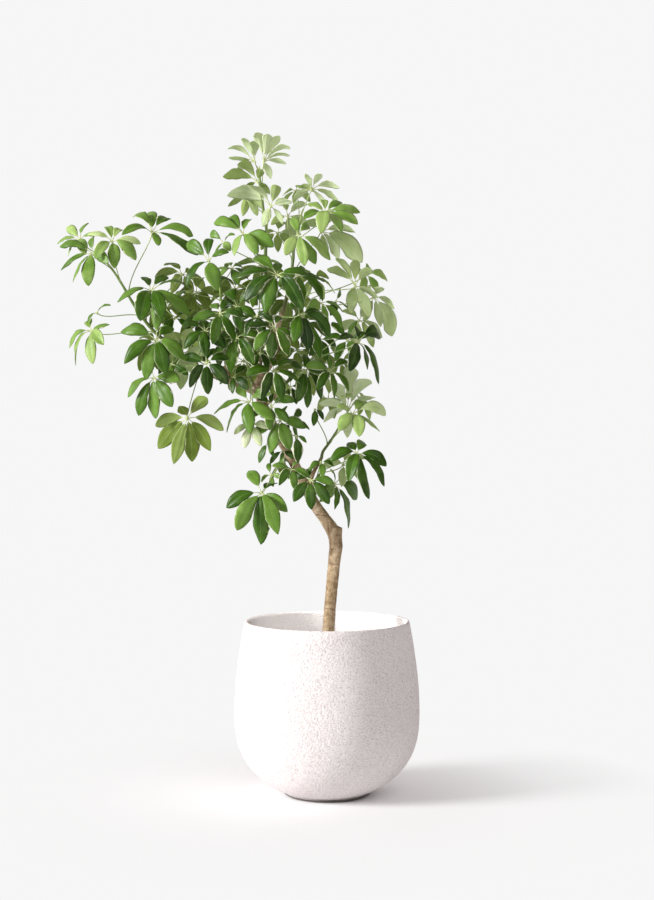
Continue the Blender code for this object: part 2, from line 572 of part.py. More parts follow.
def leaflet_vectors(hub, depth, leaf, twist, normal, uphill, side, rng):
    """From the hub to each leaflet's end, in order round the hub, each with its angle there."""
    reach, tips = leaf[3] * CM, leaf[6]
    vectors = []
    if isinstance(tips, int):
        for index in range(tips):
            angle = math.radians(360 * index / tips + rng.uniform(-LEAFLET_SWAY, LEAFLET_SWAY))
            length = reach * rng.uniform(LEAFLET_SHORTEST, 1.0)
            along = uphill * math.cos(angle) + side * math.sin(angle)
            vectors.append((along - UP * HIDDEN_SINK).normalized() * length)
    else:
        facing = math.copysign(max(abs(normal.y), FLATTEST), normal.y)
        for x, z in tips:
            flat = seen(x, z, depth) - hub
            most = math.sqrt(max(0.0, reach ** 2 - flat.length_squared))
            rise = -(normal.x * flat.x + normal.z * flat.z) / facing
            if flat.dot(uphill) > 0.0:
                rise = math.copysign(max(abs(rise), most * FAR_SIDE), rise)
            rise = max(-most, min(most, rise))
            vectors.append(seen(x, z, depth + rise / CM) - hub)
    turn = Matrix.Rotation(math.radians(twist), 3, normal)
    vectors = [turn @ vector for vector in vectors]
    angles = [math.atan2(vector.dot(side), vector.dot(uphill)) for vector in vectors]
    return sorted(zip(angles, vectors), key=lambda pair: pair[0])


def leaf_sheet(hub, depth, leaf, twist, lean, rng):
    """Corners and triangles of one palmate leaf: leaflets that arch from the hub to their ends."""
    normal, uphill, side = leaf_frame(leaf[4], leaf[5] + lean)
    leaflets = leaflet_vectors(hub, depth, leaf, twist, normal, uphill, side, rng)
    count = len(leaflets)
    angles = [angle for angle, _ in leaflets]
    gaps = [(angles[(index + 1) % count] - angles[index]) % math.tau for index in range(count)]
    spread = math.radians(HUB_SPREAD)
    corners = []
    roots = []
    for index, angle in enumerate(angles):
        ends = (angle - min(gaps[index - 1] / 2, spread), angle + min(gaps[index] / 2, spread))
        pair = []
        for end in ends:
            place = hub + (uphill * math.cos(end) + side * math.sin(end)) * HUB_RADIUS
            if not corners or (place - corners[-1]).length > WELD:
                corners.append(place)
            pair.append(len(corners) - 1)
        roots.append(pair)
    if (corners[-1] - corners[0]).length < WELD:
        corners.pop()
        roots[-1][1] = 0
    faces = [(0, index + 1, index) for index in range(1, len(corners) - 1)]
    for index, (_, vector) in enumerate(leaflets):
        length = vector.length
        across = vector.cross(normal).normalized()
        arch = (normal * ARCH_OUT + UP * ARCH_UP) * (4 * length * rng.uniform(*ARCH_RANGE))
        rooms = [math.tan(min(gap / 2, spread)) * LEAFLET_ROOM for gap in (gaps[index - 1], gaps[index])]
        left, right = roots[index]
        for share, half_width in LEAFLET:
            middle = hub + vector * share + arch * share * (1 - share)
            before, after = (min(half_width, room * share) * length for room in rooms)
            corners += [middle - across * before, middle + across * after]
            first = len(corners) - 2
            faces += [(left, right, first + 1), (left, first + 1, first)]
            left = first
            right = first + 1
        corners.append(hub + vector)
        faces.append((left, right, len(corners) - 1))
    return corners, faces


def petiole_route(start, heading, hub, normal):
    """Stalk of a leaf: it leaves the stem, bends over and meets the hub from underneath."""
    span = (hub - start).length
    leaving = heading.lerp((hub - start).normalized(), 1.0 - PETIOLE_ALONG_STEM)
    first = start + leaving * span * PETIOLE_RISE
    second = hub - normal * span * PETIOLE_ARRIVAL
    route = []
    for step in range(PETIOLE_SPANS + 1):
        t = step / PETIOLE_SPANS
        s = 1 - t
        route.append(start * s ** 3 + first * 3 * s * s * t + second * 3 * s * t * t + hub * t ** 3)
    return route


def beads(route, radii):
    """Points closely spaced along a route, each with the radius there."""
    out = []
    for (a, b), (first, last) in zip(zip(route, route[1:]), zip(radii, radii[1:])):
        count = max(1, int((b - a).length / BEAD_STEP))
        for index in range(count):
            share = index / count
            out.append((a.lerp(b, share), first + (last - first) * share))
    out.append((route[-1], radii[-1]))
    return out


class Crown:
    """The places that the wood, stems, stalks and blades already take up."""

    def __init__(self):
        self.beads = []
        self.blades = []
        self.tree = None

    def add_rod(self, owner, route, radii):
        self.beads += [(owner, point, radius) for point, radius in beads(route, radii)]
        self.tree = KDTree(len(self.beads))
        for index, bead in enumerate(self.beads):
            self.tree.insert(bead[1], index)
        self.tree.balance()

    def add_blade(self, owner, hub, thin, fat):
        self.blades.append((owner, hub, thin, fat))

    def is_clear(self, owner, stalk, hub, reach, thin, fat, own_too):
        """Whether a leaf meets nothing, or with own_too False, nothing of another stem."""
        blades = [blade for blade in self.blades if own_too or blade[0] != owner]
        for blade in blades:
            if (blade[1] - hub).length < reach + LONGEST and fat.overlap(blade[3]):
                return False
        for _, index, _ in self.tree.find_range(hub, reach + THICKEST):
            bead_owner, point, radius = self.beads[index]
            if own_too or bead_owner != owner:
                if thin.find_nearest(point, radius + CLEAR)[0] is not None:
                    return False
        for place, (point, radius) in enumerate(stalk):
            rooted = place < ROOT_BEADS
            for blade in blades:
                own = rooted and blade[0] == owner
                if not own and blade[2].find_nearest(point, radius + CLEAR)[0] is not None:
                    return False
            for _, index, distance in self.tree.find_range(point, THICKEST + radius + CLEAR):
                bead_owner, _, bead_radius = self.beads[index]
                if bead_owner != owner and distance < bead_radius + radius + CLEAR:
                    return False
        return True


def shells(mesh):
    """Search trees of a thin sheet and of its two faces moved apart by the clearance."""
    corners = [corner.co.copy() for corner in mesh.vertices]
    normals = [corner.normal.copy() for corner in mesh.vertices]
    faces = [tuple(face.vertices) for face in mesh.polygons]
    shift = BLADE / 2 + CLEAR / 2
    both = [c + n * shift for c, n in zip(corners, normals)]
    both += [c - n * shift for c, n in zip(corners, normals)]
    doubled = faces + [tuple(corner + len(corners) for corner in face) for face in faces]
    return BVHTree.FromPolygons(corners, faces), BVHTree.FromPolygons(both, doubled)


def place_leaf(name, order, leaf, route, share, crown):
    """The leaf's blade and stalk, moved along its line of sight and turned until they are clear."""
    x, z, depth, reach, pan, tilt, _ = leaf
    reach = reach * CM
    place = share * (len(route) - 1)
    index = min(int(place), len(route) - 2)
    start = route[index].lerp(route[index + 1], place - index)
    heading = (route[index + 1] - route[index]).normalized()
    tries = [(own_too, shift, move) for own_too in (True, False) for shift in SHIFTS for move in TURNS]
    for own_too, shift, (twist, lean) in tries:
        hub = seen(x, z, depth + shift)
        rng = random.Random(f"{SEED} {name} {order}")
        corners, faces = leaf_sheet(hub, depth + shift, leaf, twist, lean, rng)
        mesh = bpy.data.meshes.new(name + "_blade")
        mesh.from_pydata(corners, [], faces)
        stalk = petiole_route(start, heading, hub, leaf_frame(pan, tilt + lean)[0])
        radii = [PETIOLE_RADIUS] * len(stalk)
        thin, fat = shells(mesh)
        if crown.is_clear(name, beads(stalk, radii), hub, reach, thin, fat, own_too):
            crown.add_blade(name, hub, thin, fat)
            crown.add_rod(name, stalk, radii)
            return mesh, stalk, radii
        bpy.data.meshes.remove(mesh)
    raise RuntimeError(f"leaf {order} of {name} has no clear place")


def make_leafy_stem(name, spec, collection, work, crown):
    """One leafy stem with its leaves, from the flat end of its woody branch to its tip."""
    route, radii = stem_route(name, spec)
    stem = tube("stem_" + name, route, radii, BRANCH_ROUNDNESS, collection)
    count = len(spec["leaves"])
    first, last = LEAF_SPAN
    for order, leaf in enumerate(spec["leaves"]):
        share = first + (last - first) * (order + 1) / count
        mesh, stalk, thickness = place_leaf(name, order, leaf, route, share, crown)
        tube(name + "_stalk", stalk, thickness, STALK_ROUNDNESS, work)
        blade = add_object(name + "_blade", mesh, work)
        solidify = blade.modifiers.new("thickness", "SOLIDIFY")
        solidify.thickness = BLADE
        solidify.offset = 0.0
    join(stem, work, "MANIFOLD")
    finish(stem, "leaf", LEAF_FINISH)


def stem_route(name, spec):
    """Route and radii of a leafy stem, which starts in line with its woody branch."""
    wood = WOOD[name]
    last = seen(*wood[-1][:3])
    heading = (last - seen(*wood[-2][:3])).normalized()
    start = last + heading * GAP
    route = [start, start + heading * STEM_LEAD] + [seen(*knot) for knot in spec["route"]]
    first = wood[-1][3] * CM
    final = spec["tip"] * CM
    shares = [index / (len(route) - 1) for index in range(len(route))]
    return route, [first + (final - first) * share for share in shares]


def main():
    clear_scene()
    model = bpy.data.collections.new("potted_umbrella_tree")
    cutters = bpy.data.collections.new("cutters")
    work = bpy.data.collections.new("work")
    for made in (model, cutters, work):
        bpy.context.scene.collection.children.link(made)
    make_pot(model)
    make_soil(model, cutters)
    crown = Crown()
    make_trunk(model, work, crown)
    routes = {name: stem_route(name, spec) for name, spec in STEMS.items()}
    for name, (route, radii) in routes.items():
        crown.add_rod(name, route, radii)
    for name, spec in STEMS.items():
        make_leafy_stem(name, spec, model, work, crown)


main()
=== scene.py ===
"""Potted umbrella tree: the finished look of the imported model, seen as the photograph shows it.

Units are metres and +Z is up. Places on the plant are in centimetres as (x, z, depth): x and z are
read on the upright plane through the pot's axis, as an eye at EYE sees it, and depth runs back.
"""

import math
import random
from collections import namedtuple

import bmesh
import bpy
import numpy as np
from mathutils import Matrix, Vector, noise
from mathutils.bvhtree import BVHTree
from mathutils.kdtree import KDTree


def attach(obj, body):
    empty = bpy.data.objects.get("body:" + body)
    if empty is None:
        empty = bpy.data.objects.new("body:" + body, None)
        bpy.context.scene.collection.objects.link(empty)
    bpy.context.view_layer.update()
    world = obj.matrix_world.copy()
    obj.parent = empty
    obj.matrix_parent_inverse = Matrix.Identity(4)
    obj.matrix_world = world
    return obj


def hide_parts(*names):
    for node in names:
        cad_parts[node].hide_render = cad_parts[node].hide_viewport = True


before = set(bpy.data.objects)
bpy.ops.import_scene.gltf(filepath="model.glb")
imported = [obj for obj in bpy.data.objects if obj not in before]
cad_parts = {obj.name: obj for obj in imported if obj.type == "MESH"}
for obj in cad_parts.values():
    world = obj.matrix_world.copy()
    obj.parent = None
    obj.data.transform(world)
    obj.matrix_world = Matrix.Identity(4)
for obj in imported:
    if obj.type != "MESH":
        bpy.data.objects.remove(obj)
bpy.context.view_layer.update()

CM = 0.01
UP = Vector((0.0, 0.0, 1.0))

# Camera: it looks level from EYE, which the places on the plant are read from, and its lens is
# shifted down to bring the height MIDDLE of the plane through the pot's axis to the middle
EYE = Vector((0.0, -3.0, 0.67))
MIDDLE = 0.576
LENS_MM = 71.6
SENSOR_MM = 36.0

# Pot: the wall is a superellipse below the belly and leans in gently above it. From the height
# FOOT_TOP down it is drawn in through points of (radius, height) to the flat that it stands on
POT_HEIGHT = 0.290
BELLY_RADIUS = 0.155
BELLY_HEIGHT = 0.140
LOWER_DEPTH = 0.1465
LOWER_POWER = 2.6
RIM_DRAW_IN = 0.017
RIM_POWER = 1.75
FOOT_TOP = 0.0045
FOOT_RECESS = ((0.0715, 0.0036), (0.0680, 0.0026), (0.0664, 0.0), (0.033, 0.0))
WALL = 0.006
FLOOR = 0.012
FLOOR_RINGS = (0.03, 0.06)
POT_SEGMENTS = 224
POT_STEP = 0.0024
LIP_STEPS = 10

# Soil: its top, its mound, its rings of corners, and its crumbs, some of them white perlite grains,
# which keep to the share CRUMB_REACH of its radius and stand CRUMB_RISE of their size above it
SOIL_TOP = 0.243
SOIL_MOUND = 0.004
SOIL_SINK = 0.0015
SOIL_RINGS = 46
SOIL_SEGMENTS = 144
SOIL_SIDE_RINGS = 15
CRUMBS = 520
CRUMB_SIZE = (0.0012, 0.0042)
CRUMB_STRETCH = ((0.7, 1.3), (0.7, 1.3), (0.5, 0.9))
CRUMB_LUMPS = 0.5
CRUMB_LUMPINESS = 900
CRUMB_VARIETY = 50
CRUMB_REACH = 0.96
CRUMB_RISE = 0.2
PERLITE_SHARE = 0.10

# Unevenness, as layers of noise: (frequency along x, y and z, height). The pot stays true near its
# axis, foot and rim, and its unevenness grows over the height POT_RELIEF_FADE above the foot
POT_RELIEF = (((14, 14, 14), 0.00035), ((25, 25, 160), 0.00016), ((420, 420, 420), 0.00014))
POT_RELIEF_FADE = 0.02
TRUE_AXIS = 0.02
TRUE_FOOT = 0.004
TRUE_RIM = 0.0005
SOIL_RELIEF = (((55, 55, 55), 0.0016), ((170, 170, 170), 0.0009), ((480, 480, 480), 0.0005))
WOOD_RELIEF = (((110, 110, 110), 0.00035), ((320, 320, 320), 0.00016), ((900, 900, 90), 0.00010))

# Wood: the grid that fuses its tubes, and its softening as (factor, times). The trunk has clear ring
# scars at SCAR_HEIGHTS. FOOT_SCARS between them and OTHER_SCARS above are (spacing, strength).
# BLOTCHES is the frequency of the paler and darker patches.
WOOD_GRID = 0.0011
WOOD_SIDES = 28
WOOD_STEP = 0.004
WOOD_SOFTENING = (0.5, 4)
SCAR_HEIGHTS = (0.310, 0.386, 0.467)
SCAR_SLOPE = 0.05
CLEAR_SCARS_BELOW = 0.60
FOOT_SCARS = (0.021, 0.30)
OTHER_SCARS = (0.0126, 0.8)
SCAR_WIDTH = 0.0011
SCAR_DEPTH = 0.00045
SCAR_WOBBLE = (60, 0.0012)
CLEAR_SCAR_WOBBLE = 1.5
BLOTCHES = 45

# Clearance between pieces that touch on the real plant
GAP = 0.0003

# Corners closer than this are one corner
WELD = 0.00001

# Seed of the random draws. Small leaves are numbered from SMALL_ORDER, so that they draw other
# numbers than the larger ones.
SEED = 11
SMALL_ORDER = 100

# Leafy stems: the straight stretch at the base, and where the first and last leaf grow along it
STEM_LEAD = 0.006
LEAF_SPAN = (0.15, 0.98)

# Plain leaves, which the fine ones follow: a blade's thickness, the hub that its leaflets meet in,
# and the thin stalk below it
BLADE = 0.0009
HUB_RADIUS = 0.0032
PETIOLE_RADIUS = 0.0010
PETIOLE_SPANS = 3
PETIOLE_ALONG_STEM = 0.45
PETIOLE_RISE = 0.35
PETIOLE_ARRIVAL = 0.30

# Plain leaflets: half width along the length, both as shares of that length, and the share of the
# room between two neighbours that a leaflet may fill. At the hub none spreads more than HUB_SPREAD
# degrees to a side. Each arches out of its plane and upwards. Hidden leaflets are evenly spaced
# but for a sway in degrees, and sink below the leaf's plane. The end of one that is seen lies on
# that plane, or past it where it points away from the eye, by at least the share FAR_SIDE of what
# the leaf's reach leaves over. FLATTEST keeps a plane seen edge-on from throwing an end too far.
LEAFLET = ((0.50, 0.180), (0.80, 0.165))
LEAFLET_ROOM = 0.80
LEAFLET_SWAY = 7.0
LEAFLET_SHORTEST = 0.86
HUB_SPREAD = 55.0
ARCH_OUT = 0.10
ARCH_UP = 0.07
ARCH_RANGE = (0.7, 1.3)
HIDDEN_SINK = 0.45
FAR_SIDE = 0.55
FLATTEST = 0.12

# How leaves are kept apart: rods are beads BEAD_STEP apart, and blades and rods stay CLEAR of each
# other, except for a stalk's first ROOT_BEADS beads, which are sunk in their stem. A leaf that
# meets something moves along its line of sight, in centimetres, or twists and leans, in degrees.
CLEAR = 0.0016
BEAD_STEP = 0.003
ROOT_BEADS = 3
LONGEST = 0.090
THICKEST = 0.012
SHIFTS = (0.0, -0.7, 0.7, -1.4, 1.4, -2.1, 2.1, -2.8, 2.8, -3.5, 3.5, -4.2, 4.2, -5.0, 5.0)
TURNS = ((0.0, 0.0), (8.0, 0.0), (-8.0, 0.0), (0.0, 10.0), (0.0, -10.0), (16.0, 0.0), (-16.0, 0.0),
         (8.0, 15.0), (-8.0, -15.0))

# Fine leaflets: rows of points along a blade, closer at its ends, and columns across it, where the
# blade starts along the leaflet, and its outline, which is widest past the middle. The pairs are
# ranges that each leaflet draws from. LEAN turns a whole blade about its axis, and ROLL twists it
# towards its end, in degrees. FOLD, DOME, GROOVE and WAVE are heights as shares of the half width.
BLADE_ROWS = 15
BLADE_COLUMNS = 8
END_CROWDING = 0.55
BLADE_START = (0.12, 0.19)
OUTLINE_BASE = 0.92
OUTLINE_BASE_RANGE = (0.9, 1.15)
OUTLINE_TIP = 0.74
OUTLINE_TIP_RANGE = (0.9, 1.12)
HALF_WIDTH = 0.198
HALF_WIDTH_RANGE = (0.84, 1.10)
ROOM_USED = 1.35
LEAN = 24.0
LEAN_SETS_IN = 4
ROLL = 26.0
ARCH_MORE = (1.0, 1.5)
LEAFLET_THICKNESS = 0.0007
FOLD = (0.0, 0.55)
DOME = (0.04, 0.40)
GROOVE = 0.035
GROOVE_WIDTH = 0.16
RIB = 0.00049
RIB_WIDTH = 0.12
WAVE = 0.07
WAVES = (1.6, 3.2)
WAVES_OUT_OF_STEP = 0.9

# Stalks of the leaves, whose base and top are (radius, share of the length that it widens over), and
# of the leaflets, whose radii are at the hub and under the blade. The knob that they spring from is
# (height, radius) in shares of KNOB. Both look like a leaf's stalk past its share HUB_END.
STALK_STEPS = 14
STALK_SIDES = 7
STALK_MIDDLE = 0.00085
STALK_BASE = (0.0019, 0.07)
STALK_TOP = (0.00125, 0.10)
LEAFLET_STALK = (0.0010, 0.00044)
LEAFLET_STALK_STEPS = 5
LEAFLET_STALK_SIDES = 6
UNDER_BLADE = 0.10
UNDER_BLADE_SINK = 0.00042
KNOB = 0.0021
KNOB_PROFILE = ((-1.4, 0.55), (-0.8, 0.95), (-0.2, 1.08), (0.4, 0.85), (0.8, 0.4))
KNOB_SIDES = 9
HUB_END = 0.9

# Tubes: the height of their domed ends as a share of the radius, and a direction that no tube starts
# in, which sets how the first ring is turned
END_DOME = 0.3
RING_DIRECTION = (0.3, 0.9, 0.2)

# Green stems, swollen where a leaf grows, and the sheaths at the growing tip of each
STEM_SIDES = 14
STEM_STEP = 0.004
STEM_PALENESS = 0.3
NODE_SWELL = 0.12
NODE_WIDTH = 0.025
SHEATHS = 4
SHEATH_TURN = 2.4
SHEATH_SPREAD = 0.35
SHEATH_LENGTH = (0.006, 0.013)
SHEATH_RADIUS = 0.0016
SHEATH_ENDS = 1.02
SHEATH_STEPS = 6
SHEATH_SIDES = 6
SHEATH_LOOK = (0.9, 0.2)
SHEATH_START = 0.3

# Colours of the leaves, whose greens run from old to young, in linear red, green and blue. The pale
# end is partly painted light, the glow of leaves lit from behind
UPPER_GREENS = ((0.0, (0.009, 0.034, 0.001)), (0.24, (0.040, 0.112, 0.002)), (0.5, (0.16, 0.295, 0.045)),
                (0.75, (0.43, 0.57, 0.19)), (1.0, (0.84, 0.91, 0.60)))
UNDER_GREENS = ((0.0, (0.07, 0.15, 0.008)), (0.3, (0.22, 0.31, 0.04)), (0.65, (0.50, 0.62, 0.22)),
                (1.0, (0.85, 0.92, 0.66)))
CREAM = (0.80, 0.79, 0.58)
PALE_EDGE = (0.80, 0.82, 0.58)
# Pale patches of painted sheen, soft highlights painted on the leaves
PAINTED_SHEEN = (0.36, 0.52, 0.16)
LEAFLET_BASE = (0.62, 0.68, 0.36)
LIGHT_THROUGH = (0.40, 0.54, 0.02)

# Sides of a leaf: its greens, its rib, its roughness and the share of light that it lets through
LEAF_SIDES = {
    "leaf_upper": (UPPER_GREENS, (0.19, 0.34, 0.08), 0.36, 0.22),
    "leaf_under": (UNDER_GREENS, (0.50, 0.60, 0.28), 0.60, 0.42),
}

# Colours of the stalks and green stems
OLD_STALK = (0.16, 0.26, 0.05)
YOUNG_STALK = (0.42, 0.52, 0.20)
STALK_AT_HUB = (0.52, 0.58, 0.28)
STALK_FRECKLES = (0.20, 0.17, 0.06)
STEM_GREENS = ((0.0, (0.17, 0.14, 0.05)), (0.25, (0.085, 0.12, 0.022)), (0.65, (0.12, 0.20, 0.035)),
               (1.0, (0.30, 0.42, 0.11)))
STEM_SPECKS = (0.30, 0.24, 0.12)

# Colours of the bark, the pot, the soil and the perlite
BARK_BROWNS = ((0.25, (0.16, 0.095, 0.042)), (0.5, (0.39, 0.278, 0.168)), (0.75, (0.60, 0.468, 0.320)))
# Darker foot of the trunk: partly older bark, partly painted shade
BARK_FOOT_AND_SHADE = (0.19, 0.135, 0.07)
LENTICELS = (0.12, 0.065, 0.03)
SCARS = (0.15, 0.085, 0.045)
STONEWARE = ((0.3, (0.86, 0.795, 0.785)), (0.7, (0.91, 0.855, 0.845)))
# Paler colour inside the pot, painted light
PAINTED_LIGHT_INSIDE = (0.96, 0.915, 0.895)
# Painted shade in the pits of the grain
PAINTED_PIT_SHADE = (0.38, 0.30, 0.29)
# Painted contact shadow on the foot, below 4 mm
PAINTED_CONTACT_SHADE = (0.13, 0.10, 0.085)
SOIL_BROWNS = ((0.30, (0.012, 0.008, 0.005)), (0.5, (0.040, 0.025, 0.015)), (0.75, (0.11, 0.068, 0.038)))
PERLITE_WHITES = ((0.3, (0.42, 0.39, 0.34)), (0.7, (0.72, 0.70, 0.66)))

# Floor: it lies FLOOR_DROP below the pot, and its own glow hides more of a shadow the further it
# falls from the pot, as (distance, share hidden)
FLOOR_SIZE = 40.0
FLOOR_DROP = 0.0002
FLOOR_PALES = ((0.3, (0.87, 0.87, 0.875)), (0.7, (0.8787, 0.8787, 0.88375)))
FLOOR_GLOW = ((0.070, 0.0), (0.13, 0.15), (0.20, 0.28), (0.28, 0.46), (0.39, 0.74), (0.60, 1.0))
BACKDROP = (0.925, 0.925, 0.925)

# Lamps: far ones as (direction of travel, strength, spread in degrees), and a near one that lights
# the pot's mouth, with its place, its aim, and its cone in degrees
FAR_LAMPS = {
    "window": (Vector((0.93, 0.37, -0.36)), 4.9, 20.0),
    "fill": (Vector((-0.30, 0.80, -0.50)), 0.80, 50.0),
}
MOUTH_LAMP = Vector((0.02, -1.1, 0.76))
MOUTH_AIM = Vector((-0.045, 0.10, 0.283))
MOUTH_STRENGTH = 31.0
MOUTH_CONE = 10.4
MOUTH_CONE_SOFTNESS = 0.5
MOUTH_LAMP_SIZE = 0.02

# Surround: its colour, its strength on the right and in front, and how much brighter it gets
# towards the back and the left, as (axis, direction on it, strength)
SURROUND = (1.0, 0.885, 0.87)
SURROUND_BASE = 0.245
SURROUND_SIDES = (("Y", 1.0, 0.62), ("X", -1.0, 0.22))

# Woody trunk: (x, z, depth, radius), from its root end in the soil to its fork
TRUNK = (
    (0.2, 18.5, 0.0, 1.05),
    (0.2, 22.0, 0.0, 1.05),
    (0.2, 25.5, 0.0, 1.03),
    (0.4, 30.0, 0.0, 1.00),
    (0.8, 34.5, 0.0, 1.00),
    (1.2, 38.8, 0.0, 1.04),
    (1.5, 41.8, 0.0, 1.12),
    (1.0, 44.0, 0.0, 1.16),
    (-0.3, 46.0, 0.0, 1.00),
    (-1.8, 48.1, 0.1, 0.95),
    (-3.3, 50.8, 0.3, 0.90),
    (-4.8, 54.0, 0.5, 0.84),
    (-6.6, 57.2, 0.7, 0.77),
    (-8.4, 60.5, 0.9, 0.74),
    (-10.0, 63.8, 1.0, 0.72),
    (-11.3, 66.6, 1.0, 0.80),
    (-11.5, 68.8, 0.8, 0.68),
    (-10.5, 70.7, 0.6, 0.64),
    (-9.3, 72.5, 0.4, 0.60),
    (-8.9, 75.2, 0.3, 0.56),
)

# Woody stub of the stem that was cut above the trunk's bend
STUB = (
    (1.4, 41.6, 0.0, 1.00),
    (1.6, 43.2, 0.0, 0.92),
    (1.75, 44.7, 0.0, 0.84),
)

# Woody branches and spurs: each ends in a flat face that one leafy stem grows on from
WOOD = {
    "leader_left": ((-8.9, 75.0, 0.3, 0.50), (-9.1, 78.0, 0.8, 0.44), (-9.6, 81.0, 1.2, 0.38)),
    "leader_right": ((-8.9, 75.0, 0.3, 0.50), (-8.3, 78.0, -0.2, 0.42), (-7.5, 80.5, -0.8, 0.36)),
    "front": ((-9.0, 73.6, 0.4, 0.36), (-9.1, 75.4, -1.6, 0.32), (-9.2, 77.2, -3.0, 0.28)),
    "right_up": ((-9.0, 73.2, 0.4, 0.36), (-7.8, 75.2, 1.6, 0.32), (-6.9, 77.0, 2.4, 0.28)),
    "left_end": (
        (-11.3, 66.8, 1.0, 0.55),
        (-14.5, 68.3, 0.5, 0.46),
        (-18.0, 69.6, 0.0, 0.42),
        (-21.0, 71.0, -0.4, 0.38),
        (-24.0, 73.2, -0.6, 0.34),
    ),
    "left_low": ((-20.0, 70.5, -0.3, 0.32), (-20.5, 70.3, -1.7, 0.30), (-20.9, 70.6, -2.8, 0.26)),
    "left_up": ((-16.2, 68.9, 0.2, 0.34), (-16.6, 70.4, 0.4, 0.32), (-16.9, 71.9, 0.5, 0.30)),
    "centre_low": ((-11.5, 67.6, 0.9, 0.34), (-12.0, 68.0, -0.8, 0.30), (-12.4, 68.7, -1.8, 0.26)),
    "right_mid": ((-10.5, 64.9, 1.0, 0.34), (-9.2, 66.1, 0.6, 0.30), (-8.1, 67.2, 0.4, 0.26)),
    "right_low": ((-3.3, 50.8, 0.3, 0.44), (-2.5, 53.3, 0.3, 0.38), (-1.2, 55.8, 0.3, 0.30)),
    "low_right": ((-3.2, 50.4, 0.2, 0.32), (-2.6, 51.3, -1.2, 0.30), (-2.2, 52.1, -2.2, 0.26)),
    "low_left": ((-4.7, 53.7, 0.5, 0.32), (-5.6, 54.0, -0.6, 0.30), (-6.3, 54.4, -1.4, 0.26)),
    "trunk_side": ((-7.7, 59.3, 0.8, 0.30), (-8.3, 59.8, -0.4, 0.28), (-8.7, 60.6, -1.2, 0.24)),
    "back": ((-10.9, 70.0, 0.7, 0.36), (-11.0, 71.0, 2.2, 0.32), (-11.1, 72.2, 3.6, 0.28)),
    "back_left": ((-21.5, 71.4, -0.4, 0.32), (-21.8, 72.0, 1.0, 0.30), (-22.1, 73.0, 2.2, 0.26)),
}

